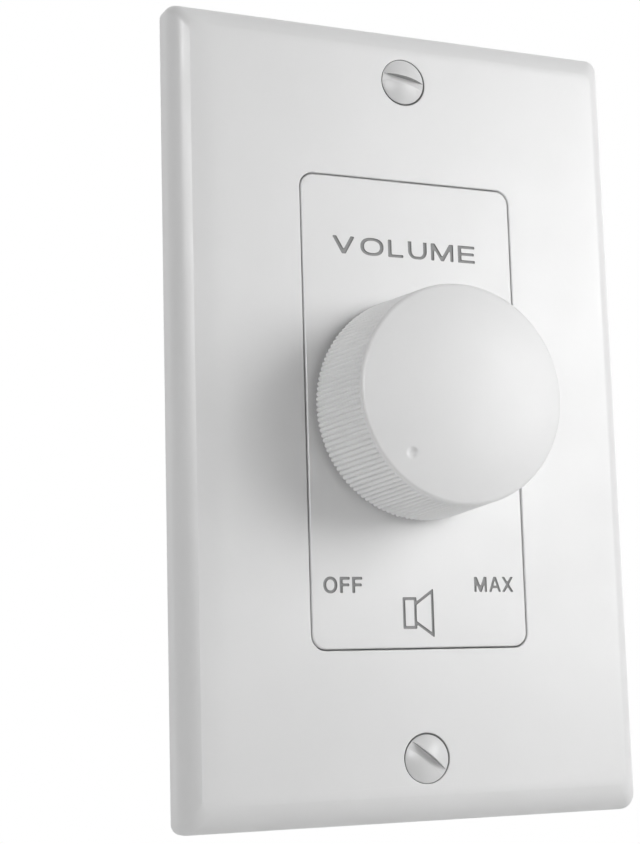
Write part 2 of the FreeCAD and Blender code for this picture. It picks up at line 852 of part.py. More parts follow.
def knob():
    body = new_body("knob")
    shell = revolve(
        body,
        [
            ("0", "knob_back"),
            ("knob_base_radius", "knob_back"),
            ("knob_top_radius", "knob_edge"),
            ("0", "knob_tip"),
        ],
        {2: ("dome_radius", "0", "knob_tip + dome_radius")},
    )
    edge = value("knob_edge")
    round_edges(body, shell, "knob_shoulder_radius", lambda e: on_plane(e, edge))
    take(body, "knob_inside", "knob_back", lambda s: draw_circle(s, "knob_hollow_radius"))
    add(body, "knob_inside", "hub_back", lambda s: draw_circle(s, "knob_hub_radius"))
    web = add(
        body, "knob_inside", "hub_back - knob_web_recess",
        lambda s: draw_rectangle(
            s, "knob_web_thickness", "knob_hollow_radius - knob_hub_radius + 2 * knob_web_thickness",
            y="(knob_hollow_radius + knob_hub_radius) / 2",
        ),
    )
    repeat(body, web, "knob_web_count")
    take(
        body, "bore_front", "hub_back",
        lambda s: draw_dee(s, "shaft_radius + press_gap", "shaft_flat + press_gap"),
    )
    slot_depth = "clip_thickness + 2 * clip_gap"
    take(
        body, "hub_back - clip_length - clip_gap", "hub_back",
        lambda s: draw_rectangle(
            s, "clip_width + 2 * clip_gap", f"2 * ({slot_depth})", y="-shaft_flat",
        ),
    )
    draft = "(knob_base_radius - knob_top_radius) / knob_skirt"
    pitch = "pi * knob_base_radius / knob_rib_count"

    def valley(sketch, place):
        radius = f"knob_base_radius - ({draft}) * (knob_back - ({place}))"
        outside = f"{radius} + knob_rib_depth / 2"
        draw_outline(
            sketch,
            [(f"-({pitch})", outside), ("0", f"{radius} - knob_rib_depth"), (pitch, outside)],
        )

    ends = ("knob_back + knob_rib_depth", "knob_edge + knob_plain_band")
    groove = loft_away(body, [(place, lambda s, p=place: valley(s, p)) for place in ends])
    repeat(body, groove, "knob_rib_count")
    dimple = body.newObject("PartDesign::SubtractiveSphere", "Dimple")
    dimple.AttachmentSupport = [(origin_item(body, "XZ_Plane"), "")]
    dimple.MapMode = "FlatFace"
    bind(dimple, "AttachmentOffset.Base.y", "dimple_place")
    bind(dimple, "AttachmentOffset.Base.z", "-(dimple_surface + dimple_depth - dimple_ball)")
    bind(dimple, "Radius", "dimple_ball")
    keep(turn(body, "rest_turn"), "knob")


def knob_clip():
    clip = box(
        ("-clip_width / 2", "clip_width / 2"),
        ("hub_back - clip_length", "hub_back"),
        ("-(shaft_flat + clip_gap + clip_thickness)", "-(shaft_flat + clip_gap)"),
    )
    keep(turn(group(clip), "rest_turn"), "knob_clip")


def switch_shaft():
    flat_back = "hub_back + ring_play"
    shaft = fuse(
        rod("shaft_radius", "shaft_front", "rotor_back"),
        rod("shaft_end_radius", "rotor_back", "base_back"),
    )
    groove = cut(
        rod("2 * shaft_radius", "ring_front - ring_gap", "ring_back + ring_gap"),
        rod("ring_groove_radius", "ring_front - ring_gap", "ring_back + ring_gap"),
    )
    flat = box(
        ("-2 * shaft_radius", "2 * shaft_radius"),
        ("shaft_front - shaft_radius", flat_back),
        ("-2 * shaft_radius", "-shaft_flat"),
    )
    keep(turn(cut(shaft, groove, flat), "rest_turn"), "switch_shaft")


def shaft_ring():
    mouth = box(
        ("-(ring_groove_radius - ring_gap)", "ring_groove_radius - ring_gap"),
        ("ring_front", "ring_back"),
        ("0", "2 * ring_radius"),
    )
    ring = cut(
        rod("ring_radius", "ring_front", "ring_back"),
        rod("ring_groove_radius + ring_gap", "ring_front", "ring_back"),
        mouth,
    )
    keep(turn(ring, "rest_turn"), "shaft_ring")


# Rotary switch


def switch_housing():
    body = new_body("switch_housing")
    bore = "shaft_radius + shaft_gap"
    revolve(
        body,
        [
            (bore, "bushing_front"),
            ("bushing_radius", "bushing_front"),
            ("bushing_radius", "strap_back"),
            ("housing_radius", "strap_back"),
            ("housing_radius", "housing_back"),
            ("track_radius", "housing_back"),
            ("track_radius", "housing_inside"),
            (bore, "housing_inside"),
        ],
    )
    add(body, "strap_front", "strap_back", lambda s: draw_circle(s, "peg_radius", "0", "peg_place"))
    notch = take(
        body, "rotor_front", "rotor_back",
        lambda s: draw_circle(s, "notch_radius", "notch_circle", "0"),
    )
    repeat(body, notch, "step_count")
    hole = take(
        body, "housing_back - rivet_length", "housing_back",
        lambda s: draw_circle(s, "rivet_radius + press_gap", *rivet_place(0)),
    )
    repeat(body, hole, "rivet_count")
    keep(body, "switch_housing")


def rivet_place(number):
    """Rivets stand midway between two notches."""
    angle = f"(0.5 * step_angle + {number} * 360 / rivet_count) * 1 deg"
    return f"rivet_circle * cos({angle})", f"rivet_circle * sin({angle})"


def circle_place(radius, number, half_turn):
    """Where the switch's step of that number stands, clockwise from the rest position."""
    angle = f"(rest_turn + {number} * step_angle + {half_turn}) * 1 deg"
    return f"{radius} * sin({angle})", f"{radius} * cos({angle})"


# Each pole's contact circle, slip ring circle and half turn
POLES = (
    ("outer_contact_circle", "outer_ring_circle", 0),
    ("inner_contact_circle", "inner_ring_circle", 180),
)


def pin_places():
    """Centres of the contacts' pins, and of the two pins of the slip rings."""
    steps = SIZES["position_count"]
    contacts = [
        circle_place(circle, number, half_turn)
        for circle, _, half_turn in POLES
        for number in range(steps)
    ]
    rings = [circle_place(ring, steps + 0.5, half_turn) for _, ring, half_turn in POLES]
    return contacts, rings


def switch_base():
    contacts, rings = pin_places()
    holes = [
        rod("contact_pin_radius + press_gap", "housing_back", "base_back", place)
        for place in contacts + rings
    ]
    holes += [
        rod("rivet_radius + press_gap", "housing_back", "base_back", rivet_place(number))
        for number in range(SIZES["rivet_count"])
    ]
    bearing = rod("shaft_end_radius + shaft_gap", "housing_back", "base_back")
    disc = rod("housing_radius", "housing_back", "base_back")
    keep(cut(disc, bearing, *holes), "switch_base")


def switch_contacts():
    contacts, rings = pin_places()
    pieces = []
    for place in contacts:
        head = rod("contact_radius", "contact_front", "housing_back", place)
        pin = rod("contact_pin_radius", "housing_back", "board_back + pin_tail", place)
        pieces.append(fuse(head, pin))
    for (_, circle, _), place in zip(POLES, rings):
        track = cut(
            rod(f"{circle} + contact_ring_width / 2", "contact_front", "housing_back"),
            rod(f"{circle} - contact_ring_width / 2", "contact_front", "housing_back"),
        )
        pin = rod("contact_pin_radius", "contact_front", "board_back + pin_tail", place)
        pieces.append(fuse(track, pin))
    keep(group(*pieces), "switch_contacts")


def switch_rivets():
    rivets = []
    for number in range(SIZES["rivet_count"]):
        place = rivet_place(number)
        shank = rod("rivet_radius", "housing_back - rivet_length + press_gap", "base_back", place)
        head = rod("rivet_head_radius", "base_back", "base_back + rivet_head_height", place)
        rivets.append(fuse(shank, head))
    keep(group(*rivets), "switch_rivets")


def switch_rotor():
    pockets = [
        rod(
            "ball_radius + ball_hole_gap", low, high, ("ball_height", "0"), axis="x",
        )
        for low, high in (("spring_seat", "2 * rotor_radius"), ("-2 * rotor_radius", "-spring_seat"))
    ]
    disc = rod("rotor_radius", "rotor_front", "rotor_back")
    bore = rod("shaft_radius + press_gap", "rotor_front", "rotor_back")
    keep(turn(cut(disc, bore, *pockets), "rest_turn"), "switch_rotor")


def detent():
    balls = [ball("ball_radius", f"({side}) * ball_place", "ball_height", "0") for side in (-1, 1)]
    keep(turn(group(*balls), "rest_turn"), "detent_balls")
    spring_end = "ball_place - ball_radius"
    springs = []
    for low, high in (("spring_seat", spring_end), (f"-({spring_end})", "-spring_seat")):
        across = ("ball_height", "0")
        outside = rod("spring_radius", low, high, across, axis="x")
        inside = rod("spring_radius - spring_wire", low, high, across, axis="x")
        springs.append(cut(outside, inside))
    keep(turn(group(*springs), "rest_turn"), "detent_springs")


def rotor_wipers():
    wipers = []
    for side, (circle, ring, _) in zip((1, -1), POLES):
        low = f"{ring} - wiper_overhang"
        high = f"{circle} + wiper_overhang"
        span = (low, high) if side > 0 else (f"-({high})", f"-({low})")
        arm = box(("-wiper_width / 2", "wiper_width / 2"), ("wiper_front", "wiper_back"), span)
        middle = f"({side}) * ({circle} + {ring}) / 2"
        post = rod("wiper_width / 2", "rotor_back", "wiper_front", ("0", middle))
        wipers.append(fuse(arm, post))
    keep(turn(group(*wipers), "rest_turn"), "rotor_wipers")


# Circuit board with its standoffs and screws


def standoffs():
    pieces = []
    for place in standoff_places():
        bar = hexagon("standoff_flats", "strap_back", "board_front", place)
        bore = rod("board_screw_radius + thread_gap", "strap_back", "board_front", place)
        pieces.append(cut(bar, bore))
    keep(group(*pieces), "standoffs")


def small_screw(seat, inward, place):
    """A pan head with a slot on the plane seat, whose shank runs in the direction inward along Y."""
    x, z = place
    head_top = f"{seat} - ({inward}) * board_screw_head_height"
    shank_end = f"{seat} + ({inward}) * board_screw_length"
    ends = (head_top, seat, shank_end) if inward > 0 else (shank_end, seat, head_top)
    radii = ("board_screw_head_radius", "board_screw_radius")
    low_radius, high_radius = radii if inward > 0 else radii[::-1]
    low = rod(low_radius, ends[0], ends[1], place)
    high = rod(high_radius, ends[1], ends[2], place)
    slot_floor = f"{seat} - ({inward}) * board_screw_head_height / 2"
    span = (head_top, slot_floor) if inward > 0 else (slot_floor, head_top)
    slot = box(
        (f"({x}) - 2 * board_screw_radius", f"({x}) + 2 * board_screw_radius"),
        span,
        (f"({z}) - board_screw_slot / 2", f"({z}) + board_screw_slot / 2"),
    )
    return cut(fuse(low, high), slot)


def board_fasteners():
    keep(group(*[small_screw("strap_front", 1, place) for place in standoff_places()]), "strap_screws")
    keep(group(*[small_screw("board_back", -1, place) for place in standoff_places()]), "board_screws")


def core_sides():
    return (("left", -1), ("right", 1))


def bobbin_pin_places(side):
    """Two rows of pins beside the core of one transformer."""
    count = SIZES["bobbin_pin_count"]
    return [
        (
            f"({side}) * core_spread / 2 + ({row}) * foot_pin",
            f"core_centre_height + ({number} - {(count - 1) / 2}) * bobbin_pin_pitch",
        )
        for row in (-1, 1)
        for number in range(count)
    ]


def header_pin_places(side):
    count = SIZES["pole_count"]
    return [
        f"({side}) * header_spread / 2 + ({number} - {(count - 1) / 2}) * pole_pitch"
        for number in range(count)
    ]


def selector_pin_places():
    return [(f"({number}) * selector_pin_pitch", "selector_height_place") for number in (-1, 0, 1)]


def circuit_board():
    body = new_body("circuit_board")
    add(
        body, "board_front", "board_back",
        lambda s: draw_rectangle(
            s, "board_width", "board_top - board_bottom", y="(board_top + board_bottom) / 2",
            corner="board_corner",
        ),
    )

    def screw_holes(sketch):
        for x, z in standoff_places():
            draw_circle(sketch, "board_hole_radius", x, z)

    def switch_holes(sketch):
        contacts, rings = pin_places()
        for x, z in contacts + rings:
            draw_circle(sketch, "contact_pin_radius + pin_hole_gap", x, z)

    def transformer_holes(sketch):
        for _, side in core_sides():
            for x, z in bobbin_pin_places(side):
                draw_circle(sketch, "bobbin_pin_radius + pin_hole_gap", x, z)
            for end in (-1, 1):
                middle = "(core_height + clamp_thickness) / 2"
                draw_rectangle(
                    sketch, "clamp_width + 2 * clamp_slot_gap", "clamp_thickness + 2 * clamp_slot_gap",
                    f"({side}) * core_spread / 2", f"core_centre_height + ({end}) * {middle}",
                )

    def terminal_holes(sketch):
        for _, side in core_sides():
            for x in header_pin_places(side):
                draw_circle(sketch, "header_pin / sqrt(2) + pin_hole_gap", x, "header_height_place")
        for x, z in selector_pin_places():
            draw_circle(sketch, "selector_pin_radius + pin_hole_gap", x, z)

    for holes in (screw_holes, switch_holes, transformer_holes, terminal_holes):
        take(body, "board_front", "board_back", holes)
    keep(body, "circuit_board")


# Autotransformers


def transformer(word, side):
    centre = f"({side}) * core_spread / 2"

    def across(half):
        return f"{centre} - ({half})", f"{centre} + ({half})"

    def upward(half):
        return f"core_centre_height - ({half})", f"core_centre_height + ({half})"

    window_middle = "(core_leg + core_window) / 2"
    windows = [
        box(
            across("core_stack"),
            ("window_front", "window_back"),
            (
                f"core_centre_height + ({end}) * {window_middle} - core_window / 2",
                f"core_centre_height + ({end}) * {window_middle} + core_window / 2",
            ),
        )
        for end in (-1, 1)
    ]
    block = box(across("core_stack / 2"), ("core_front", "core_back"), upward("core_height / 2"))
    keep(cut(block, *windows), f"{word}_core")

    sleeve_x = "bobbin_half_x + bobbin_wall"
    sleeve_z = "bobbin_half_z + bobbin_wall"
    flange_z = "core_leg / 2 + core_window - bobbin_gap"
    span = ("window_front + bobbin_gap", "window_back - bobbin_gap")
    flanges = [
        box(across("foot_outside"), (low, f"{low} + bobbin_flange"), upward(flange_z))
        for low in (span[0], "coil_back")
    ]
    feet = []
    for inner, outer in (("foot_inside", "foot_outside"), ("(-foot_outside)", "(-foot_inside)")):
        wide = (f"{centre} + {inner}", f"{centre} + {outer}")
        low, high = upward("bobbin_foot_length / 2")
        feet.append(box(wide, ("foot_front", f"{span[0]} + bobbin_flange"), (low, high)))
        # Short nibs at the ends lift each foot clear of the pins that come through the board
        for ends in ((low, f"{low} + bobbin_nib"), (f"{high} - bobbin_nib", high)):
            feet.append(box(wide, ("board_back", "foot_front"), ends))
    bobbin = cut(
        fuse(box(across(sleeve_x), span, upward(sleeve_z)), *flanges, *feet),
        box(across("bobbin_half_x"), (f"{span[0]} - bobbin_flange", f"{span[1]} + bobbin_flange"),
            upward("bobbin_half_z")),
    )
    keep(bobbin, f"{word}_bobbin")
    pins = [rod("bobbin_pin_radius", "pin_end", "foot_front", place) for place in bobbin_pin_places(side)]
    keep(group(*pins), f"{word}_bobbin_pins")

    def wrap(name, inner, outer):
        """A band round the bobbin between two distances from its sleeve."""
        body = new_body(name)
        width = f"2 * ({sleeve_x})"
        height = f"2 * ({sleeve_z})"
        middle = (centre, "core_centre_height")
        add(
            body, "coil_front", "coil_back",
            lambda s: draw_rectangle(
                s, f"{width} + 2 * ({outer})", f"{height} + 2 * ({outer})", *middle, corner="coil_corner",
            ),
        )
        inside = "coil_corner - tape_thickness" if inner != "0" else None
        take(
            body, "coil_front", "coil_back",
            lambda s: draw_rectangle(
                s, f"{width} + 2 * ({inner})", f"{height} + 2 * ({inner})", *middle, corner=inside,
            ),
        )
        keep(body, name)

    copper = "coil_thickness - tape_thickness"
    body = new_body(f"{word}_winding")
    add(
        body, "coil_front", "coil_back",
        lambda s: draw_rectangle(
            s, f"2 * ({sleeve_x} + {copper})", f"2 * ({sleeve_z} + {copper})", centre, "core_centre_height",
            corner="coil_corner - tape_thickness",
        ),
    )
    take(
        body, "coil_front", "coil_back",
        lambda s: draw_rectangle(s, f"2 * ({sleeve_x})", f"2 * ({sleeve_z})", centre, "core_centre_height"),
    )
    keep(body, f"{word}_winding")
    wrap(f"{word}_tape", copper, "coil_thickness")

    leg = "core_height / 2 + clamp_thickness"
    outline = box(
        across("clamp_width / 2"), ("board_front - clamp_tab", "core_back + clamp_thickness"), upward(leg),
    )
    inside = box(
        across("clamp_width"), ("board_front - 2 * clamp_tab", "core_back"), upward("core_height / 2"),
    )
    keep(cut(outline, inside), f"{word}_clamp")


# Wire terminals: a header on the board and a plug that pulls off it


def terminal(word, side):
    centre = f"({side}) * header_spread / 2"

    def block(width, front, back, thickness):
        return box(
            (f"{centre} - ({width}) / 2", f"{centre} + ({width}) / 2"),
            (front, back),
            (f"header_height_place - ({thickness}) / 2", f"header_height_place + ({thickness}) / 2"),
        )

    def at_pole(x, width, front, back):
        return box(
            (f"{x} - ({width}) / 2", f"{x} + ({width}) / 2"),
            (front, back),
            (f"header_height_place - ({width}) / 2", f"header_height_place + ({width}) / 2"),
        )

    poles = header_pin_places(side)
    shell = block("header_width", "board_back", "header_back", "header_thickness")
    hollow = block(
        "header_width - 2 * header_wall", "header_inside", "header_back + header_floor",
        "header_thickness - 2 * header_wall",
    )
    pin_holes = [at_pole(x, "header_pin + 2 * press_gap", "board_back", "header_inside") for x in poles]
    keep(cut(shell, hollow, *pin_holes), f"{word}_header")
    pins = [at_pole(x, "header_pin", "pin_end", "pin_reach") for x in poles]
    keep(group(*pins), f"{word}_header_pins")

    nose = block("plug_nose_width", "plug_front", "plug_shoulder", "plug_nose_thickness")
    grip = block("plug_width", "plug_shoulder", "plug_back", "plug_thickness")
    sockets = [
        at_pole(x, "header_pin + 2 * socket_gap", "plug_front", "pin_reach + socket_gap") for x in poles
    ]
    wire_ways = [at_pole(x, "cage_outside + 2 * cage_gap", "cage_front", "plug_back") for x in poles]
    low = "header_height_place - plug_thickness / 2"
    screw_ways = [
        rod("clamp_screw_radius + cage_gap", low, "header_height_place", (x, "clamp_screw_place"), axis="z")
        for x in poles
    ]
    keep(cut(fuse(nose, grip), *sockets, *wire_ways, *screw_ways), f"{word}_plug")

    cages = []
    screws = []
    for x in poles:
        cages.append(
            cut(
                at_pole(x, "cage_outside", "cage_front", "cage_back"),
                at_pole(x, "cage_inside", "cage_front", "cage_back"),
                rod(
                    "clamp_screw_radius + press_gap", low, "header_height_place",
                    (x, "clamp_screw_place"), axis="z",
                ),
            )
        )
        shank = rod(
            "clamp_screw_radius", "clamp_screw_low", "clamp_screw_low + clamp_screw_length",
            (x, "clamp_screw_place"), axis="z",
        )
        slot = box(
            (f"{x} - 2 * clamp_screw_radius", f"{x} + 2 * clamp_screw_radius"),
            ("clamp_screw_place - clamp_screw_slot / 2", "clamp_screw_place + clamp_screw_slot / 2"),
            ("clamp_screw_low", "clamp_screw_low + clamp_screw_slot"),
        )
        screws.append(cut(shank, slot))
    keep(group(*cages), f"{word}_plug_cages")
    keep(group(*screws), f"{word}_plug_screws")


# Impedance selector


def selector():
    def block(x, half_width, front, back, half_height):
        return box(
            (f"{x} - ({half_width})", f"{x} + ({half_width})"),
            (front, back),
            (f"selector_height_place - ({half_height})", f"selector_height_place + ({half_height})"),
        )

    tab_half = "selector_tab_width / 2"
    foot_half = "selector_foot_width / 2"
    slot_half = f"selector_travel / 2 + {tab_half} + selector_gap"
    room_half = f"selector_travel / 2 + {foot_half} + selector_gap"
    foot_front = "selector_foot_back - selector_foot_height"
    tab_rise = "selector_tab_thickness / 2"
    foot_rise = "selector_thickness / 2 - selector_wall - selector_gap"
    shell = block("0", "selector_width / 2", "board_back", "selector_back", "selector_thickness / 2")
    room = block("0", room_half, f"{foot_front} - selector_gap", "selector_foot_back + selector_gap",
                 f"{foot_rise} + selector_gap")
    slot = block("0", slot_half, "selector_foot_back", "selector_back", f"{tab_rise} + selector_gap")
    keep(cut(shell, room, slot), "selector_body")
    foot = block("selector_rest", foot_half, foot_front, "selector_foot_back", foot_rise)
    tab = block(
        "selector_rest", tab_half, "selector_foot_back", "selector_back + selector_tab_height", tab_rise,
    )
    keep(fuse(foot, tab), "selector_slider")
    pins = [rod("selector_pin_radius", "pin_end", "board_back", place) for place in selector_pin_places()]
    keep(group(*pins), "selector_pins")


def check(objects):
    """Stop if any object failed, or if a cut took nothing away."""
    for obj in doc.Objects:
        if "Invalid" in obj.State or "Error" in obj.State:
            raise RuntimeError(f"{obj.Name} of {obj.Label} failed: {obj.State}")
        if obj.TypeId in ("PartDesign::Pocket", "PartDesign::SubtractiveLoft"):
            if obj.Shape.Volume >= obj.BaseFeature.Shape.Volume - 1e-6:
                raise RuntimeError(f"{obj.Name} cut nothing")
    for obj in objects:
        if obj.Shape.isNull() or not obj.Shape.isValid() or not obj.Shape.Solids:
            raise RuntimeError(f"{obj.Label} has no valid solid")


wall_plate()
plate_screws()
insert()
mounting_strap()
nut_and_washer()
knob()
knob_clip()
switch_shaft()
shaft_ring()
switch_housing()
switch_base()
switch_contacts()
switch_rivets()
switch_rotor()
detent()
rotor_wipers()
standoffs()
board_fasteners()
circuit_board()
for word, side in core_sides():
    transformer(word, side)
terminal("input", -1)
terminal("output", 1)
selector()

doc.recompute()
check(nodes)
os.makedirs(PARTS_FOLDER, exist_ok=True)
for node in nodes:
    node.Shape.exportStep(os.path.join(PARTS_FOLDER, f"{node.Label}.step"))
    solids = node.Shape.Solids
    print(f"{node.Label}: {len(solids)} solids, {sum(s.Volume for s in solids):.1f} mm3")
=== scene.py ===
"""Wall volume control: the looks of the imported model."""
import json
import math

import bmesh
import bpy
from mathutils import Matrix, Vector

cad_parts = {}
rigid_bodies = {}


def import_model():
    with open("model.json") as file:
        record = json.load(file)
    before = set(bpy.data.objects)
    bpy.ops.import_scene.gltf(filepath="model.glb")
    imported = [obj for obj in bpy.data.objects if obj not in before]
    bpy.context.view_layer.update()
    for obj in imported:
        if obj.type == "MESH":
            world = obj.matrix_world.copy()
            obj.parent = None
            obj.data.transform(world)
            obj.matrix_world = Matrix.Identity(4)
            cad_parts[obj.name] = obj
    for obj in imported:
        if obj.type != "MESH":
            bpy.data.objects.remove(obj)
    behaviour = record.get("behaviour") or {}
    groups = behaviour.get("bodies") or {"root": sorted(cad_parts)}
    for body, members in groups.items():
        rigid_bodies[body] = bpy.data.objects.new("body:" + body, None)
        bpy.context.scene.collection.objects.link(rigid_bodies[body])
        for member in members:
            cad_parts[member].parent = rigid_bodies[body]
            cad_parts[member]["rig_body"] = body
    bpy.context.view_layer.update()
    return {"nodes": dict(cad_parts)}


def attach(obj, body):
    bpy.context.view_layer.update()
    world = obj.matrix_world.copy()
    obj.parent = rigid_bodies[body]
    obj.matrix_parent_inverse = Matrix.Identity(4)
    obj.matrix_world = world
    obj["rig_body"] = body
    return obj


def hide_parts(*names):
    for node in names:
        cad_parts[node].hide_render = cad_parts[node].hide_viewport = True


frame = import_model()
MM = 0.001
# Points of a mesh that are nearer than this, in millimetres, become one
MERGE = 1e-4


# Meshes, written in millimetres


class Shape:
    """Points and faces of one piece, gathered in millimetres."""

    def __init__(self):
        self.points = []
        self.faces = []
        self.finishes = []
        self.finish = 0

    def loop(self, points):
        start = len(self.points)
        self.points += [tuple(point) for point in points]
        return list(range(start, start + len(points)))

    def face(self, *corners):
        self.faces.append(corners)
        self.finishes.append(self.finish)

    def bridge(self, low, high):
        """Quads between two closed loops with as many points each."""
        for i in range(len(low)):
            j = (i + 1) % len(low)
            self.face(low[i], low[j], high[j], high[i])

    def skin(self, rings, first=None):
        """Loops for the rings, each bridged to the one before it, from a first loop if given."""
        loops = [first] if first else []
        loops += [self.loop(ring) for ring in rings]
        for low, high in zip(loops, loops[1:]):
            self.bridge(low, high)
        return loops

    def gather(self, fine, coarse):
        """Triangles from a closed loop to one with fewer points."""
        step = len(fine) // len(coarse)
        half = step // 2
        for i in range(len(coarse)):
            here, after = coarse[i], coarse[(i + 1) % len(coarse)]
            run = [fine[(step * i + k) % len(fine)] for k in range(step + 1)]
            for k in range(half):
                self.face(run[k], run[k + 1], here)
            self.face(run[half], after, here)
            for k in range(half, step):
                self.face(run[k], run[k + 1], after)

    def fan(self, ring, centre):
        (tip,) = self.loop([centre])
        for i in range(len(ring)):
            self.face(ring[i], ring[(i + 1) % len(ring)], tip)

    def fill(self, rings, facing):
        """A flat area between rings, holes among them, turned to face that way along Y."""
        mesh = bmesh.new()
        verts = {}
        for ring in rings:
            for index in ring:
                verts[index] = mesh.verts.new(self.points[index])
            for i in range(len(ring)):
                mesh.edges.new((verts[ring[i]], verts[ring[(i + 1) % len(ring)]]))
        back = {vert: index for index, vert in verts.items()}
        result = bmesh.ops.triangle_fill(mesh, edges=mesh.edges[:], use_beauty=True)
        for face in result["geom"]:
            if isinstance(face, bmesh.types.BMFace):
                corners = [back[vert] for vert in face.verts]
                if face.normal.y * facing < 0:
                    corners.reverse()
                self.face(*corners)
        mesh.free()

    def mesh(self, name, merge=MERGE):
        data = bpy.data.meshes.new(name)
        data.from_pydata([Vector(point) * MM for point in self.points], [], self.faces)
        data.polygons.foreach_set("material_index", self.finishes)
        tidy(data, merge)
        return data


def tidy(data, merge=MERGE):
    """Merge doubled points and turn the faces outwards."""
    mesh = bmesh.new()
    mesh.from_mesh(data)
    bmesh.ops.remove_doubles(mesh, verts=mesh.verts[:], dist=merge * MM)
    bmesh.ops.dissolve_degenerate(mesh, edges=mesh.edges[:], dist=merge * MM)
    loose = [vert for vert in mesh.verts if not vert.link_faces]
    bmesh.ops.delete(mesh, geom=loose, context="VERTS")
    bmesh.ops.recalc_face_normals(mesh, faces=mesh.faces[:])
    mesh.to_mesh(data)
    mesh.free()


def soften(obj, angle, bevel=0.0):
    """Smooth shading with sharp edges kept, and small rounds on them if a width is given."""
    obj.data.shade_smooth()
    obj.data.set_sharp_from_angle(angle=math.radians(angle))
    if bevel:
        edge = obj.modifiers.new("Edges", "BEVEL")
        edge.width = bevel * MM
        edge.segments = 2
        edge.limit_method = "ANGLE"
        edge.angle_limit = math.radians(angle)
        edge.harden_normals = True
    weight = obj.modifiers.new("Normals", "WEIGHTED_NORMAL")
    weight.keep_sharp = True
    weight.weight = 60


def new_object(name, data):
    obj = bpy.data.objects.new(name, data)
    bpy.context.scene.collection.objects.link(obj)
    return obj


def place(data, name, body, slot, materials, nodes):
    obj = new_object(name, data)
    for material in materials:
        data.materials.append(material)
    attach(obj, body)
    if nodes:
        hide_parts(*nodes)
    return obj


def circle(radius, y, count, x=0.0, z=0.0):
    turns = [math.tau * i / count for i in range(count)]
    return [(x + radius * math.sin(turn), y, z + radius * math.cos(turn)) for turn in turns]


def quarter(steps):
    """A quarter round of radius 1: how far each point is from its side, and how far along."""
    turns = [math.pi / 2 * k / steps for k in range(steps + 1)]
    return [(1 - math.sin(turn), 1 - math.cos(turn)) for turn in turns]


def rounded_box(half_x, half_z, corner, y, steps):
    """A rectangle with round corners, as points at depth y."""
    points = []
    for number, (sx, sz) in enumerate([(1, 1), (1, -1), (-1, -1), (-1, 1)]):
        for k in range(steps + 1):
            angle = math.pi / 2 * (number + k / steps)
            points.append(
                (
                    sx * (half_x - corner) + corner * math.sin(angle),
                    y,
                    sz * (half_z - corner) + corner * math.cos(angle),
                )
            )
    return points


# Materials


def add_node(tree, kind, inputs, **settings):
    """A node with its settings. A socket among its inputs is linked, and any other value is set."""
    node = tree.nodes.new(kind)
    for name, value in settings.items():
        setattr(node, name, value)
    for name, value in inputs.items():
        if isinstance(value, bpy.types.NodeSocket):
            tree.links.new(value, node.inputs[name])
        else:
            node.inputs[name].default_value = value
    return node


class Surface:
    """A procedural material put together node by node."""

    def __init__(self, name, metal=0.0, specular=0.5):
        self.material = bpy.data.materials.new(name)
        self.material.use_nodes = True
        self.tree = self.material.node_tree
        self.shader = self.tree.nodes["Principled BSDF"]
        self.shader.inputs["Metallic"].default_value = metal
        self.shader.inputs["Specular IOR Level"].default_value = specular
        self.place = add_node(self.tree, "ShaderNodeTexCoord", {}).outputs["Object"]

    def stretch(self, *scale):
        """Coordinates scaled by three factors, for streaks."""
        inputs = {"Scale": scale, "Vector": self.place}
        return add_node(self.tree, "ShaderNodeMapping", inputs).outputs["Vector"]

    def noise(self, size, detail=2.0, roughness=0.5, place=None):
        """Noise whose lumps are about that many millimetres wide."""
        inputs = {"Detail": detail, "Roughness": roughness, "Vector": place or self.place}
        inputs["Scale"] = 1 / (size * MM)
        return add_node(self.tree, "ShaderNodeTexNoise", inputs).outputs["Fac"]

    def span(self, factor, low, high, start=0.3, end=0.7):
        """From low to high as the factor goes from start to end."""
        inputs = {"Value": factor, "From Min": start, "From Max": end}
        inputs |= {"To Min": low, "To Max": high}
        return add_node(self.tree, "ShaderNodeMapRange", inputs).outputs["Result"]

    def blend(self, factor, first, second):
        """From the first colour to the second, where the first may be a socket."""
        if not isinstance(first, bpy.types.NodeSocket):
            first = (*first, 1.0)
        inputs = {"Factor": factor, 6: first, 7: (*second, 1.0)}
        return add_node(self.tree, "ShaderNodeMix", inputs, data_type="RGBA").outputs[2]

    def mottle(self, light, dark, size, detail=2.0):
        """Patches of two shades, about that many millimetres wide."""
        return self.blend(self.span(self.noise(size, detail), 0.0, 1.0), light, dark)

    def colour(self, source):
        self.tree.links.new(source, self.shader.inputs["Base Color"])

    def gloss(self, factor, rough, least, most):
        """Roughness that varies between two shares of its mean."""
        varied = self.span(factor, rough * least, rough * most)
        self.tree.links.new(varied, self.shader.inputs["Roughness"])

    def bump(self, source, height):
        """Relief of that height in millimetres, on top of any before it."""
        normal = self.shader.inputs["Normal"]
        inputs = {"Height": source, "Strength": 1.0, "Distance": height * MM}
        if normal.links:
            inputs["Normal"] = normal.links[0].from_socket
        self.tree.links.new(add_node(self.tree, "ShaderNodeBump", inputs).outputs["Normal"], normal)


def grey(level):
    return level, level, level


def moulded(name, light, dark, rough, grain=0.5, relief=0.004, specular=0.5):
    """Moulded plastic: faint shade changes, uneven gloss and a fine grain."""
    surface = Surface(name, specular=specular)
    surface.colour(surface.mottle(light, dark, size=14.0))
    surface.gloss(surface.noise(5.0, 4.0), rough, 0.88, 1.12)
    surface.bump(surface.noise(grain, 3.0), relief)
    return surface.material


def rolled(name, light, dark, rough, streaks=(1.0, 1.0, 0.02), relief=0.003):
    """Rolled, drawn or brushed metal, with streaks along its long direction."""
    surface = Surface(name, metal=1.0)
    drawn = surface.noise(0.25, 3.0, 0.6, surface.stretch(*streaks))
    surface.colour(surface.mottle(light, dark, 6.0, 3.0))
    surface.gloss(drawn, rough, 0.8, 1.25)
    surface.bump(drawn, relief)
    return surface.material


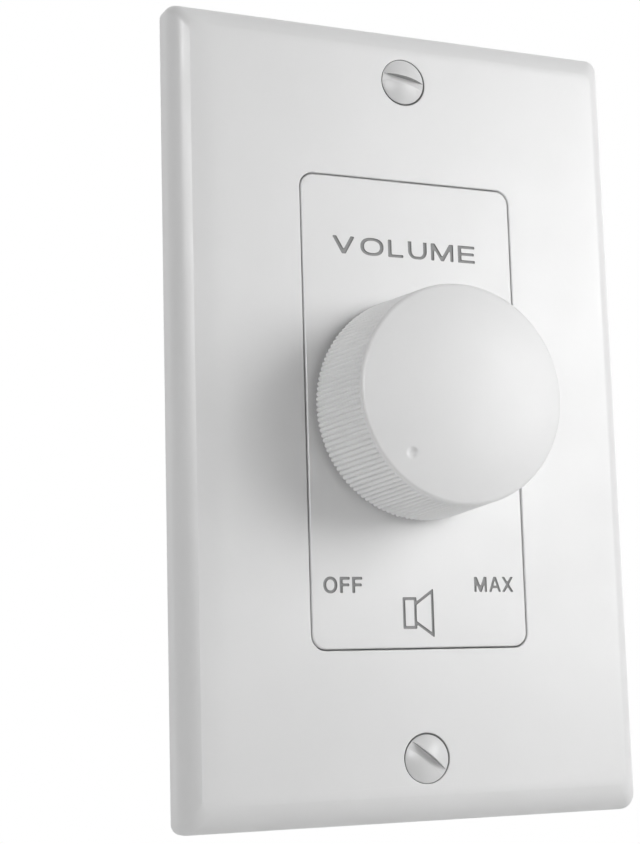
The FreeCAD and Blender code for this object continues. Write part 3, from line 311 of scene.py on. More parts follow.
PLATE_WHITE = moulded(
    "plate_white", grey(0.86), grey(0.84), 0.34, grain=0.45, relief=0.003, specular=0.6
)
SHADED_WHITE = moulded("shaded_white", grey(0.30), grey(0.24), 0.6, grain=0.3, relief=0.003)
INSERT_WHITE = moulded(
    "insert_white", grey(0.86), grey(0.845), 0.36, grain=0.35, relief=0.003, specular=0.6
)
KNOB_WHITE = moulded("knob_white", grey(0.87), grey(0.85), 0.42, grain=0.3, relief=0.003)
LETTER_GREY = moulded("letter_grey", grey(0.33), grey(0.29), 0.6, grain=0.2, relief=0.01)
SCREW_WHITE = moulded("screw_white", grey(0.80), grey(0.75), 0.36, grain=0.6, relief=0.006)
# Painted shade on the walls of the screws' slots
SLOT_PAINTED_SHADE = moulded("slot_painted_shade", grey(0.52), grey(0.46), 0.5, grain=0.4, relief=0.004)

# Camera, fitted to the plate's outline, the window and the screws

CAMERA_PLACE = (-109.391, -223.962, -38.469)
CAMERA_TURN = Matrix(
    (
        (0.918034, -0.035191, -0.394937),
        (-0.395568, -0.149602, -0.906171),
        (-0.027194, 0.988120, -0.151260),
    )
)
camera = bpy.data.cameras.new("camera")
camera.lens = 74.227
camera.sensor_width = 36.0
camera.clip_start = 0.01
camera.clip_end = 20.0
viewer = new_object("camera", camera)
viewer.matrix_world = Matrix.Translation(Vector(CAMERA_PLACE) * MM) @ CAMERA_TURN.to_4x4()
bpy.context.scene.camera = viewer

# Wall plate

PLATE_HALF_X = 34.925
PLATE_HALF_Z = 57.15
FACE = -6.5
PLATE_INSIDE = -4.3
PLATE_WALL = 2.2
PLATE_RIM = 0.15
PLATE_CORNER = 1.5
HOLLOW_CORNER = 0.6
CORNER_STEPS = 18
# Each edge is straight as far as START. A round follows, and then a slow rise to the face, which
# is SAG deep and REACH wide
SIDE_ROUND = 4.4
SIDE_START = -2.329
END_ROUND = 5.2
END_START = -1.44
LEFT_SAG = 0.28
LEFT_REACH = 4.2
RIGHT_SAG = 0.02
RIGHT_REACH = 0.5
END_SAG = 0.05
END_REACH = 0.95
SLOPE_STEPS = 26
SLOPE_POWER = 0.85
RISE_STEPS = 16
# Depths of the rings between the rim and the start of the sides' round
WALL_LEVELS = (-0.5, END_START, -1.9, SIDE_START)
WINDOW_HALF_X = 16.75
WINDOW_HALF_Z = 33.5
WINDOW_CORNER = 2.2
WINDOW_ROUND = 0.2
BOX_STEPS = 12
ROUND_STEPS = 96
STRAP_FRONT = -1.5
STRAP_BACK = -0.3
SCREW_Z = 48.42
SINK_ANGLE = math.radians(41.0)
SINK_RADIUS = 3.49
HOLE_RADIUS = 2.0
SINK_DEPTH = (SINK_RADIUS - HOLE_RADIUS) / math.tan(SINK_ANGLE)
BOSS_RADIUS = 3.4
# Lower and upper screw, and how far the countersink lies off each of them in x and z
SINK_SHIFTS = ((-1, 0.05, 0.07), (1, 0.07, -0.05))
# The countersink's rounded mouth and the boss behind it, as pairs of radius and depth
SINK_MOUTH = (
    (SINK_RADIUS + 0.12, FACE),
    (SINK_RADIUS + 0.035, FACE + 0.025),
    (SINK_RADIUS - 0.02, FACE + 0.09),
)
BOSS = ((HOLE_RADIUS, STRAP_FRONT), (BOSS_RADIUS, STRAP_FRONT), (BOSS_RADIUS, PLATE_INSIDE))


def edge_inset(y, radius, start, sag, reach):
    """How far in the plate's surface is at depth y: wall, rounded slope, then a slow rise."""
    if y >= start:
        return 0.0
    low = FACE + sag
    inset = radius - math.sqrt(radius**2 - (max(y, low) - start) ** 2)
    if y < low:
        inset += reach * (1 - math.sqrt(y - FACE) / math.sqrt(sag))
    return inset


def plate_ring(left, right, end, y):
    """The plate's outline at depth y, that far in from its sides and ends."""
    middle, half_x = (left - right) / 2, PLATE_HALF_X - (left + right) / 2
    ring = rounded_box(half_x, PLATE_HALF_Z - end, PLATE_CORNER, y, CORNER_STEPS)
    return [(x + middle, y, z) for x, y, z in ring]


def face_edge(half_x, half_z, corner, edge):
    """Rings that round a window's edge into the face, or a panel's where edge is negative."""
    rings = []
    for aside, along in quarter(4):
        grow, y = edge * aside, FACE + abs(edge) * along
        rings.append(rounded_box(half_x + grow, half_z + grow, corner + grow, y, BOX_STEPS))
    return rings


def wall_plate():
    shape = Shape()
    rings = []
    for aside, along in quarter(3):
        rings.append(plate_ring(*[PLATE_RIM * aside] * 3, -PLATE_RIM * along))
    slope = FACE + LEFT_SAG - SIDE_START
    levels = list(WALL_LEVELS)
    for k in range(1, SLOPE_STEPS + 1):
        levels.append(SIDE_START + slope * (k / SLOPE_STEPS) ** SLOPE_POWER)
    levels += [FACE + LEFT_SAG * (1 - k / RISE_STEPS) ** 2 for k in range(1, RISE_STEPS + 1)]
    for y in levels:
        left = edge_inset(y, SIDE_ROUND, SIDE_START, LEFT_SAG, LEFT_REACH)
        right = edge_inset(y, SIDE_ROUND, SIDE_START, RIGHT_SAG, RIGHT_REACH)
        end = edge_inset(y, END_ROUND, END_START, END_SAG, END_REACH)
        rings.append(plate_ring(left, right, end, y))
    outside = shape.skin(rings)
    # Window with a small round at its edge
    box = (WINDOW_HALF_X, WINDOW_HALF_Z, WINDOW_CORNER)
    window = shape.skin(
        [*face_edge(*box, WINDOW_ROUND), rounded_box(*box, PLATE_INSIDE, BOX_STEPS)]
    )
    # Countersunk holes with bosses behind, and darker cones
    mouths, bosses = [], []
    for side, x, shift in SINK_SHIFTS:
        z = side * SCREW_Z
        mouth = shape.skin(
            [circle(radius, y, ROUND_STEPS, x, z + shift) for radius, y in SINK_MOUTH]
        )
        shape.finish = 1
        bottom = circle(HOLE_RADIUS, FACE + SINK_DEPTH, ROUND_STEPS, x, z + shift)
        cone = shape.skin([bottom], mouth[-1])
        shape.finish = 0
        boss = shape.skin([circle(radius, y, ROUND_STEPS, 0.0, z) for radius, y in BOSS], cone[-1])
        mouths.append(mouth[0])
        bosses.append(boss[-1])
    shape.fill([outside[-1], window[0], *mouths], -1)
    # Hollow back
    box = (PLATE_HALF_X - PLATE_WALL, PLATE_HALF_Z - PLATE_WALL, HOLLOW_CORNER)
    hollow = shape.skin([rounded_box(*box, y, CORNER_STEPS // 3) for y in (0.0, PLATE_INSIDE)])
    shape.fill([hollow[1], window[-1], *bosses], 1)
    shape.fill([outside[0], hollow[0]], 1)
    looks = [PLATE_WHITE, SHADED_WHITE]
    soften(place(shape.mesh("plate"), "plate", "base", "plate_white", looks, ["wall_plate"]), 18.0)


wall_plate()

# Insert with its lettering

INSERT_HALF_X = 16.55
INSERT_HALF_Z = 33.3
INSERT_CORNER = 2.0
INSERT_ROUND = 0.25
INSERT_WALL = 1.8
INSERT_INSIDE = -4.5
CAVITY_CORNER = 0.4
CAVITY_STEPS = 4
FLANGE = 1.5
FLANGE_FRONT = -3.9
FLANGE_BACK = STRAP_FRONT
SHAFT_HOLE = 7.328
# How much wider the shaft's hole is at each depth
SHAFT_HOLE_EDGE = ((0.12, FACE), (0.03, FACE + 0.03), (0.0, FACE + 0.12), (0.0, INSERT_INSIDE))
STAKE_X = 16.4
STAKE_Z = 20.0
STAKE_STEPS = 32
# Pairs of radius and depth, from the flange through the strap to the pressed head
STAKE = (
    (1.1, FLANGE_BACK), (1.1, STRAP_BACK), (1.8, STRAP_BACK), (1.75, 0.1), (1.45, 0.33), (0.9, 0.4),
)
LETTER_DEPTH = 0.16
# How far in the wall of a sign is at each depth below the face
SIGN_WALL = ((0.0, 0.0), (0.02, 0.04), (0.05, LETTER_DEPTH))
SIGN_OUTER_ROUND = 0.16
SIGN_INNER_ROUND = 0.1
# An outline with more points than this is round already
ANGULAR_POINTS = 30


def rounded(corners, radius):
    """A closed outline with each corner rounded, as far as its sides allow."""
    points = []
    count, steps, share = len(corners), 4, 0.48
    for i in range(count):
        before, here, after = (Vector(corners[(i + k) % count]) for k in (-1, 0, 1))
        to_before, to_after = before - here, after - here
        turn = to_before.angle(to_after)
        cut = min(radius / math.tan(turn / 2), share * to_before.length, share * to_after.length)
        start = here + to_before.normalized() * cut
        end = here + to_after.normalized() * cut
        for t in (k / steps for k in range(steps + 1)):
            points.append(tuple((1 - t) ** 2 * start + 2 * t * (1 - t) * here + t**2 * end))
    return points


def oval(centre_x, centre_z, half_x, half_z, power):
    """A squared oval."""
    points = []
    count = 56
    for i in range(count):
        angle = math.tau * i / count
        c, s = math.cos(angle), math.sin(angle)
        points.append(
            (
                centre_x + half_x * math.copysign(abs(c) ** (2 / power), c),
                centre_z + half_z * math.copysign(abs(s) ** (2 / power), s),
            )
        )
    return points


def inset(points, distance):
    """The outline moved inwards by a small distance."""
    count = len(points)
    area = sum(
        points[i][0] * points[(i + 1) % count][1] - points[(i + 1) % count][0] * points[i][1]
        for i in range(count)
    )
    side = 1 if area > 0 else -1
    moved = []
    for i in range(count):
        before, here, after = (Vector(points[(i + k) % count]) for k in (-1, 0, 1))
        first, second = (here - before).normalized(), (after - here).normalized()
        normal = Vector((-(first.y + second.y), first.x + second.x)).normalized()
        moved.append(tuple(here + normal * distance * side))
    return moved


# Each letter fills x0 to x1 and z0 to z1. Its upright strokes are stroke wide, its level ones bar


def letter_v(x0, x1, z0, z1, stroke, foot):
    middle, half = (x0 + x1) / 2, (x1 - x0) / 2
    notch_share = 0.682
    notch = z0 + notch_share * (z1 - z0) * stroke / half
    return [
        [
            (x0, z1), (x0 + stroke, z1), (middle, notch), (x1 - stroke, z1), (x1, z1),
            (middle + foot / 2, z0), (middle - foot / 2, z0),
        ]
    ]


def letter_o(x0, x1, z0, z1, stroke, bar, power):
    cx, cz = (x0 + x1) / 2, (z0 + z1) / 2
    hx, hz = (x1 - x0) / 2, (z1 - z0) / 2
    return [oval(cx, cz, hx, hz, power), oval(cx, cz, hx - stroke, hz - bar, power)]


def letter_l(x0, x1, z0, z1, stroke, bar):
    post, foot = x0 + stroke, z0 + bar
    return [[(x0, z0), (x1, z0), (x1, foot), (post, foot), (post, z1), (x0, z1)]]


def letter_u(x0, x1, z0, z1, stroke, bar, radius):
    """Down the left side, round the foot and up again, and back along the inside."""
    turns = quarter(10)
    left, right, low = x0 + stroke, x1 - stroke, z0 + bar
    rx, rz = radius - stroke, radius - bar
    return [
        [
            (x0, z1),
            *((x0 + radius * along, z0 + radius * aside) for aside, along in turns),
            *((x1 - radius * aside, z0 + radius * along) for aside, along in turns),
            (x1, z1),
            (right, z1),
            *((right - rx * along, low + rz * aside) for aside, along in turns),
            *((left + rx * aside, low + rz * along) for aside, along in turns),
            (left, z1),
        ]
    ]


def letter_m(x0, x1, z0, z1, stroke, slant):
    """Two posts and a V between them that reaches the line."""
    middle = (x0 + x1) / 2
    drop = slant * (z1 - z0) / (middle - x0 - stroke / 2 - slant / 2)
    shoulder, foot = 1.25 * stroke, 0.42 * slant
    notch, fork = z0 + 0.62 * drop, z1 - 0.75 * drop
    return [
        [
            (x0, z0), (x0, z1), (x0 + shoulder, z1), (middle, notch), (x1 - shoulder, z1),
            (x1, z1), (x1, z0), (x1 - stroke, z0), (x1 - stroke, fork), (middle + foot, z0),
            (middle - foot, z0), (x0 + stroke, fork), (x0 + stroke, z0),
        ]
    ]


def arms(x0, x1, middle, z1, stroke, bar, shorter):
    """The post and the two upper arms of an E or an F, whose middle arm is shorter."""
    post, end, low, high = x0 + stroke, x1 - shorter, middle - bar / 2, middle + bar / 2
    return [
        (post, low), (end, low), (end, high), (post, high),
        (post, z1 - bar), (x1, z1 - bar), (x1, z1), (x0, z1),
    ]


def letter_e(x0, x1, z0, z1, stroke, bar):
    foot = [(x0, z0), (x1, z0), (x1, z0 + bar), (x0 + stroke, z0 + bar)]
    return [foot + arms(x0, x1, (z0 + z1) / 2 + 0.02, z1, stroke, bar, 0.12)]


def letter_f(x0, x1, z0, z1, stroke, bar):
    foot = [(x0, z0), (x0 + stroke, z0)]
    return [foot + arms(x0, x1, (z0 + z1) / 2, z1, stroke, bar, 0.1)]


def letter_a(x0, x1, z0, z1, stroke, bar):
    middle = (x0 + x1) / 2
    half_top, bar_share = 0.22, 0.25
    lean = (middle - half_top - x0) / (z1 - z0)
    slanted = stroke * math.hypot(1, lean)

    def sides(z, inwards):
        left = x0 + lean * (z - z0) + inwards
        return left, 2 * middle - left

    low = z0 + bar_share * (z1 - z0)
    high = low + bar
    top_left, top_right = sides(z1, 0.0)
    low_left, low_right = sides(low, slanted)
    high_left, high_right = sides(high, slanted)
    peak = high + (middle - high_left) / lean
    return [
        [
            (x0, z0), (top_left, z1), (top_right, z1), (x1, z0), (x1 - slanted, z0),
            (low_right, low), (low_left, low), (x0 + slanted, z0),
        ],
        [(high_left, high), (middle, peak), (high_right, high)],
    ]


def letter_x(x0, x1, z0, z1, stroke):
    cx, cz = (x0 + x1) / 2, (z0 + z1) / 2
    wide = 1.2 * stroke
    notch_x = wide / 2
    notch_z = notch_x * (z1 - z0) / (x1 - x0 - wide)
    return [
        [
            (x0, z0), (x0 + wide, z0), (cx, cz - notch_z), (x1 - wide, z0),
            (x1, z0), (cx + notch_x, cz), (x1, z1), (x1 - wide, z1),
            (cx, cz + notch_z), (x0 + wide, z1), (x0, z1), (cx - notch_x, cz),
        ]
    ]


def loudspeaker():
    """The standard loudspeaker sign: a box and a horn, drawn as lines."""
    stroke = 0.4
    left, right, low, high = -2.89, -0.76, -30.68, -26.31
    neck_low, neck_high = -30.1, -26.9
    mouth, mouth_low, mouth_high = 1.9, -31.95, -25.07
    outline = [
        (left, low), (right, low), (right, neck_low), (mouth, mouth_low),
        (mouth, mouth_high), (right, neck_high), (right, high), (left, high),
    ]
    box_inside = [
        (left + stroke, low + stroke), (right - stroke, low + stroke),
        (right - stroke, high - stroke), (left + stroke, high - stroke),
    ]
    lean = (mouth_high - neck_high) / (mouth - right)
    slanted = stroke * math.hypot(1, lean)
    inside, low, high = mouth - stroke, neck_low + slanted, neck_high - slanted
    rise = lean * (inside - right)
    horn_inside = [(right, low), (inside, low - rise), (inside, high + rise), (right, high)]
    return [outline, box_inside, horn_inside]


def lettering():
    """Outlines of every sign: its outer line, then its inner ones."""
    z0, z1, stroke, bar = 22.05, 24.6, 0.58, 0.42
    signs = [
        letter_v(-12.0, -8.48, z0, z1, 0.66, foot=0.6),
        letter_o(-7.63, -4.0, z0 - 0.03, z1 + 0.03, stroke, bar, power=2.35),
        letter_l(-3.3, -0.9, z0, z1, stroke, bar),
        letter_u(-0.12, 2.9, z0 - 0.02, z1, stroke, bar, radius=1.2),
        letter_m(3.56, 7.2, z0, z1, stroke * 0.9, slant=0.54),
        letter_e(7.94, 10.7, z0, z1, stroke, bar),
    ]
    z0, z1, stroke, bar = -25.73, -23.45, 0.45, 0.4
    low, high, thin = z0 + 0.1, z1 - 0.03, 0.37
    signs += [
        letter_o(-14.8, -12.7, z0, z1, stroke, bar, power=2.15),
        letter_f(-12.35, -10.82, z0 + 0.03, high, stroke, bar),
        letter_f(-10.5, -8.94, z0 + 0.03, high, stroke, bar),
        letter_m(8.42, 10.45, low, high, thin, slant=0.38),
        letter_a(10.78, 12.72, low, high, thin, bar=0.36),
        letter_x(12.85, 14.75, low, high, 0.39),
        loudspeaker(),
    ]
    return signs


def insert():
    shape = Shape()
    box = (INSERT_HALF_X, INSERT_HALF_Z, INSERT_CORNER)
    rings = [*face_edge(*box, -INSERT_ROUND), rounded_box(*box, FLANGE_FRONT, BOX_STEPS)]
    box = (INSERT_HALF_X + FLANGE, INSERT_HALF_Z + FLANGE, WINDOW_CORNER)
    rings += [rounded_box(*box, y, BOX_STEPS) for y in (FLANGE_FRONT, FLANGE_BACK)]
    outside = shape.skin(rings)
    # Hole for the knob's shaft, the cavity behind, and the stakes
    hole = shape.skin(
        [circle(SHAFT_HOLE + grow, y, ROUND_STEPS) for grow, y in SHAFT_HOLE_EDGE]
    )
    box = (INSERT_HALF_X - INSERT_WALL, INSERT_HALF_Z - INSERT_WALL, CAVITY_CORNER)
    cavity = shape.skin([rounded_box(*box, y, CAVITY_STEPS) for y in (FLANGE_BACK, INSERT_INSIDE)])
    shape.fill([cavity[1], hole[-1]], 1)
    stakes = []
    for x in (-STAKE_X, STAKE_X):
        for z in (-STAKE_Z, STAKE_Z):
            stake = shape.skin([circle(radius, y, STAKE_STEPS, x, z) for radius, y in STAKE])
            shape.fan(stake[-1], (x, STAKE[-1][1], z))
            stakes.append(stake[0])
    shape.fill([outside[-1], cavity[0], *stakes], 1)
    # Recessed signs, with a second finish on their walls and floors
    outer_lines, islands = [], []
    for sign in lettering():
        tops, floors = [], []
        shape.finish = 1
        for line in sign:
            inwards, corner = (-1, SIGN_INNER_ROUND) if tops else (1, SIGN_OUTER_ROUND)
            smooth = line if len(line) > ANGULAR_POINTS else rounded(line, corner)
            rings = []
            for distance, depth in SIGN_WALL:
                moved = inset(smooth, distance * inwards)
                rings.append([(x, FACE + depth, z) for x, z in moved])
            walls = shape.skin(rings)
            tops.append(walls[0])
            floors.append(walls[-1])
        shape.fill(floors, -1)
        shape.finish = 0
        outer_lines.append(tops[0])
        islands += tops[1:]
    shape.fill([outside[0], hole[0], *outer_lines], -1)
    for island in islands:
        shape.fill([island], -1)
    name, looks = "insert_panel", [INSERT_WHITE, LETTER_GREY]
    soften(place(shape.mesh(name), name, "base", "insert_white", looks, ["insert"]), 25.0)


insert()

# Knob

KNOB_BACK = -7.75
KNOB_BASE = 15.8
KNOB_TOP = 15.05
KNOB_EDGE = -21.35
KNOB_TIP = -23.05
KNOB_TAPER = (KNOB_BASE - KNOB_TOP) / (KNOB_BACK - KNOB_EDGE)
KNOB_FOOT = 0.35
DOME_HEIGHT = KNOB_EDGE - KNOB_TIP
DOME_RADIUS = (KNOB_TOP**2 + DOME_HEIGHT**2) / (2 * DOME_HEIGHT)
DOME_STEPS = 40
SHOULDER = 0.65
SHOULDER_STEPS = 12
BAND_START = 0.12
RIBS = 134
RIB_DEPTH = 0.32
RIB_END = -20.8
# How deep each sample of a rib lies: a rounded crest between sharp valleys
RIB_SHAPE = [1.0, 0.5, 0.19, 0.05, 0.0, 0.05, 0.19, 0.5]
# Depths of the full ribs, then how deep they still are at each distance from their end
RIB_LEVELS = (-10.0, -13.0, -16.0, -18.5, RIB_END + 0.6)
RIB_RUN_OUT = ((0.38, 0.92), (0.2, 0.68), (0.08, 0.36), (0.0, 0.0))
KNOB_INSIDE = -20.45
DIMPLE = (-8.3085, -8.3085)
DIMPLE_RADIUS = 0.66
DIMPLE_DEPTH = 0.4
DIMPLE_STEPS = 8
# The dimple's soft rim, as pairs of radius and how far it lies under the dome
DIMPLE_RIM = ((0.88, 0.004), (0.78, 0.02), (0.7, 0.055), (0.62, 0.105))
DIMPLE_SURROUND = 1.15
HUB_BACK = -9.0
BORE_FRONT = -20.15
BORE_RADIUS = 3.02
BORE_FLAT = 2.0
# The knob's underside from the shell to the hub, as pairs of radius and depth
UNDERSIDE = (
    (14.9, KNOB_BACK), (13.45, KNOB_BACK), (13.35, KNOB_BACK - 0.1), (13.35, KNOB_INSIDE + 0.6),
    (12.75, KNOB_INSIDE), (5.4, KNOB_INSIDE), (5.0, KNOB_INSIDE + 0.4), (5.0, HUB_BACK - 0.15),
    (4.85, HUB_BACK),
)
WEBS = 6
WEB_HALF = 0.5
WEB_REACH = (4.0, 13.8)
WEB_FRONT = KNOB_INSIDE - 0.4
WEB_BACK = -13.4
REST_TURN = 225.0


def knob_dome(x, z):
    return KNOB_TIP + DOME_RADIUS - math.sqrt(DOME_RADIUS**2 - x * x - z * z)


def knob_side(y):
    return KNOB_BASE - KNOB_TAPER * (KNOB_BACK - y)


def ribbed_ring(y, share, shrink=0.0):
    """The knob's side at depth y, with ribs of that share of their depth."""
    points = []
    count = RIBS * len(RIB_SHAPE)
    for i in range(count):
        depth = RIB_DEPTH * share * RIB_SHAPE[i % len(RIB_SHAPE)]
        radius = knob_side(y) - shrink - depth
        angle = math.tau * i / count
        points.append((radius * math.sin(angle), y, radius * math.cos(angle)))
    return points


def dome_ring(radius, part, drop=0.0):
    """A ring on the dome or sunk in it, round the axis at part 0 and round the dimple at 1."""
    ring = circle(radius, 0.0, 2 * RIBS, DIMPLE[0] * part, DIMPLE[1] * part)
    return [(x, knob_dome(x, z) + drop, z) for x, _, z in ring]


def knob():
    shape = Shape()
    rings = [
        ribbed_ring(KNOB_BACK - KNOB_FOOT * along, 1.0, KNOB_FOOT * aside)
        for aside, along in quarter(3)
    ]
    rings += [ribbed_ring(y, 1.0) for y in RIB_LEVELS]
    rings += [ribbed_ring(RIB_END + before, share) for before, share in RIB_RUN_OUT]
    side = shape.skin(rings)
    # The shoulder turns from the side's lean into the dome's slope
    lean = math.atan(KNOB_TAPER)
    sweep = math.pi / 2 - lean - math.asin(KNOB_TOP / DOME_RADIUS)
    tangent = SHOULDER * math.tan(sweep / 2)
    centre_r = KNOB_TOP + tangent * math.sin(lean) - SHOULDER * math.cos(lean)
    centre_y = KNOB_EDGE + tangent * math.cos(lean) + SHOULDER * math.sin(lean)
    profile = [(knob_side(RIB_END - BAND_START), RIB_END - BAND_START)]
    for k in range(SHOULDER_STEPS + 1):
        angle = lean + sweep * k / SHOULDER_STEPS
        radius, y = centre_r + SHOULDER * math.cos(angle), centre_y - SHOULDER * math.sin(angle)
        profile.append((radius, y))
    rings = [circle(radius, y, 2 * RIBS) for radius, y in profile]
    band = shape.loop(rings[0])
    shape.gather(side[-1], band)
    shoulder = shape.skin(rings[1:], band)
    # Dome: rings that close in on the dimple, its soft rim and its round bottom
    last_radius = profile[-1][0]
    rings = []
    for part in (k / DOME_STEPS for k in range(1, DOME_STEPS + 1)):
        rings.append(dome_ring(last_radius + (DIMPLE_SURROUND - last_radius) * part, part))
    rings += [dome_ring(radius, 1.0, drop) for radius, drop in DIMPLE_RIM]
    ball = (DIMPLE_RADIUS**2 + DIMPLE_DEPTH**2) / (2 * DIMPLE_DEPTH)
    for k in range(1, DIMPLE_STEPS):
        radius = DIMPLE_RIM[-1][0] * (1 - k / DIMPLE_STEPS)
        drop = DIMPLE_DEPTH - ball + math.sqrt(ball**2 - radius**2)
        rings.append(dome_ring(radius, 1.0, drop))
    dome = shape.skin(rings, shoulder[-1])
    shape.fan(dome[-1], (DIMPLE[0], knob_dome(*DIMPLE) + DIMPLE_DEPTH, DIMPLE[1]))
    # Hollow underside with the hub, whose bore is flat on one side
    rings = [circle(radius, y, RIBS) for radius, y in UNDERSIDE]
    pointer = Vector(DIMPLE).normalized()
    for y in (HUB_BACK, BORE_FRONT):
        bore = []
        for x, _, z in circle(BORE_RADIUS, y, RIBS):
            beyond = min(0.0, x * pointer.x + z * pointer.y + BORE_FLAT)
            bore.append((x - beyond * pointer.x, y, z - beyond * pointer.y))
        rings.append(bore)
    foot = shape.loop(rings[0])
    shape.gather(side[0], foot)
    under = shape.skin(rings[1:], foot)
    shape.fan(under[-1], (0.0, BORE_FRONT, 0.0))
    # Webs from the hub to the shell, as closed blades that reach into both
    section = (
        (-WEB_HALF, WEB_FRONT), (WEB_HALF, WEB_FRONT), (WEB_HALF, WEB_BACK), (-WEB_HALF, WEB_BACK),
    )
    for i in range(WEBS):
        angle = math.radians(REST_TURN + 360 / WEBS * i)
        along = Vector((math.sin(angle), math.cos(angle)))
        across = Vector((math.cos(angle), -math.sin(angle)))
        rings = []
        for reach in WEB_REACH:
            spots = [(along * reach + across * aside, y) for aside, y in section]
            rings.append([(spot.x, y, spot.y) for spot, y in spots])
        for end in shape.skin(rings):
            shape.face(*end)
    name = "ribbed_knob"
    mesh = shape.mesh(name, 2 * MERGE)
    place(mesh, name, "knob", "knob_white", [KNOB_WHITE], ["knob"])
    mesh.shade_smooth()
    mesh.set_sharp_from_angle(angle=math.radians(50))


knob()

# Plate screws

HEAD_RADIUS = 3.3
HEAD_DOME = 1.05
HEAD_EDGE = 0.06
HEAD_STEPS = 15
SCREW_RADIUS = 1.75
SCREW_LENGTH = 16.0
TIP_RADIUS = 1.0
TIP_LENGTH = 0.5
THREAD_GAP = 0.2
THREAD_ROOT = SCREW_RADIUS - 0.22
THREAD_CREST = SCREW_RADIUS - 0.02
THREAD_PITCH = 0.794
# Where the thread's crest starts and ends, as shares of its pitch
CREST_SPAN = (0.45, 0.55)
SLOT_WIDTH = 1.15
SLOT_DEPTH = 1.02
BLADE_LENGTH = 8.0
BLADE_HEIGHT = 3.0
# Name, height on the plate and turn of the slot in degrees
SCREWS = (("upper_screw", SCREW_Z, 10.0), ("lower_screw", -SCREW_Z, 39.0))


def screw_profile():
    """Pairs of radius and depth: domed head, cone, thread and tip."""
    ball = (HEAD_RADIUS**2 + HEAD_DOME**2) / (2 * HEAD_DOME)
    profile = []
    for k in range(1, HEAD_STEPS):
        radius = HEAD_RADIUS * k / (HEAD_STEPS - 0.5)
        profile.append((radius, FACE - HEAD_DOME + ball - math.sqrt(ball**2 - radius**2)))
    neck = FACE + HEAD_EDGE + (HEAD_RADIUS - SCREW_RADIUS) / math.tan(SINK_ANGLE)
    profile += [
        (HEAD_RADIUS - 0.02, FACE + 0.005), (HEAD_RADIUS, FACE + HEAD_EDGE), (SCREW_RADIUS, neck),
    ]
    y, end = neck + THREAD_GAP, FACE + SCREW_LENGTH
    while y < end - 2 * TIP_LENGTH:
        profile.append((THREAD_ROOT, y))
        profile += [(THREAD_CREST, y + THREAD_PITCH * share) for share in CREST_SPAN]
        y += THREAD_PITCH
    tip = [(THREAD_ROOT - 0.03, end - TIP_LENGTH), (TIP_RADIUS, end)]
    return [*profile, (THREAD_ROOT, y), *tip]


def plate_screw(name, height, turn):
    shape = Shape()
    profile = screw_profile()
    loops = shape.skin([circle(radius, y, ROUND_STEPS) for radius, y in profile])
    for end in (0, -1):
        shape.fan(loops[end], (0.0, profile[end][1], 0.0))
    head = new_object(name + "_turned", shape.mesh(name))
    blade = bmesh.new()
    bmesh.ops.create_cube(blade, size=1.0)
    slot_floor = FACE - HEAD_DOME + SLOT_DEPTH
    for vert in blade.verts:
        x, y, z = vert.co
        y = slot_floor + BLADE_HEIGHT * (y - 0.5)
        vert.co = Vector((x * BLADE_LENGTH, y, z * SLOT_WIDTH)) * MM
    cutter = new_object("slot", bpy.data.meshes.new("slot"))
    blade.to_mesh(cutter.data)
    blade.free()
    cut = head.modifiers.new("Slot", "BOOLEAN")
    cut.operation = "DIFFERENCE"
    cut.solver = "EXACT"
    cut.object = cutter
    evaluated = head.evaluated_get(bpy.context.evaluated_depsgraph_get())
    data = bpy.data.meshes.new_from_object(evaluated)
    for obj in (head, cutter):
        bpy.data.objects.remove(obj)
    # The slot's walls have a darker finish of their own, which is painted shade
    for face in data.polygons:
        off_wall = abs(abs(face.center.z / MM) - SLOT_WIDTH / 2)
        face.material_index = int(abs(face.normal.z) > 0.99 and off_wall < 0.01)
    turned = Matrix.Rotation(math.radians(turn), 4, "Y")
    data.transform(Matrix.Translation(Vector((0, 0, height)) * MM) @ turned)
    tidy(data)
    return data


def plate_screws():
    both = bmesh.new()
    for name, height, turn in SCREWS:
        both.from_mesh(plate_screw(name, height, turn))
    name, looks = "oval_screws", [SCREW_WHITE, SLOT_PAINTED_SHADE]
    data = bpy.data.meshes.new(name)
    both.to_mesh(data)
    both.free()
    soften(place(data, name, "base", "screw_white", looks, ["plate_screws"]), 30.0, bevel=0.06)


plate_screws()

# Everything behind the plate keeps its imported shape, with softened edges and finishes of its own

# Width of one band of the wave texture at a scale of 1
WAVE_BAND = 0.314159


def striped(name, light, dark, rough, direction, pitch, relief):
    """Fine parallel lines in metal: stacked sheets or wound wire."""
    surface = Surface(name, metal=1.0)
    inputs = {"Scale": WAVE_BAND / (pitch * MM), "Distortion": 0.4, "Detail": 1.0}
    inputs |= {"Detail Scale": 2.0, "Vector": surface.place}
    wave = add_node(surface.tree, "ShaderNodeTexWave", inputs, bands_direction=direction)
    lines = wave.outputs["Fac"]
    base = surface.mottle(light, dark, 3.0, 4.0)
    gaps = surface.span(lines, low=0.55, high=0.0, start=0.0, end=0.35)
    surface.colour(surface.blend(gaps, base, [shade * 0.35 for shade in dark]))
    surface.gloss(surface.noise(2.0, 4.0), rough, 0.85, 1.2)
    surface.bump(lines, relief)
    surface.bump(surface.noise(0.6, 3.0), 0.004)
    return surface.material


def cast(name, light, dark, rough):
    """Die-cast or tumbled metal: mottled, with a grainy skin."""
    surface = Surface(name, metal=1.0)
    surface.colour(surface.mottle(light, dark, 4.0, 4.0))
    surface.gloss(surface.noise(1.2, 4.0), rough, 0.8, 1.25)
    surface.bump(surface.noise(0.35, 4.0, 0.6), 0.006)
    return surface.material


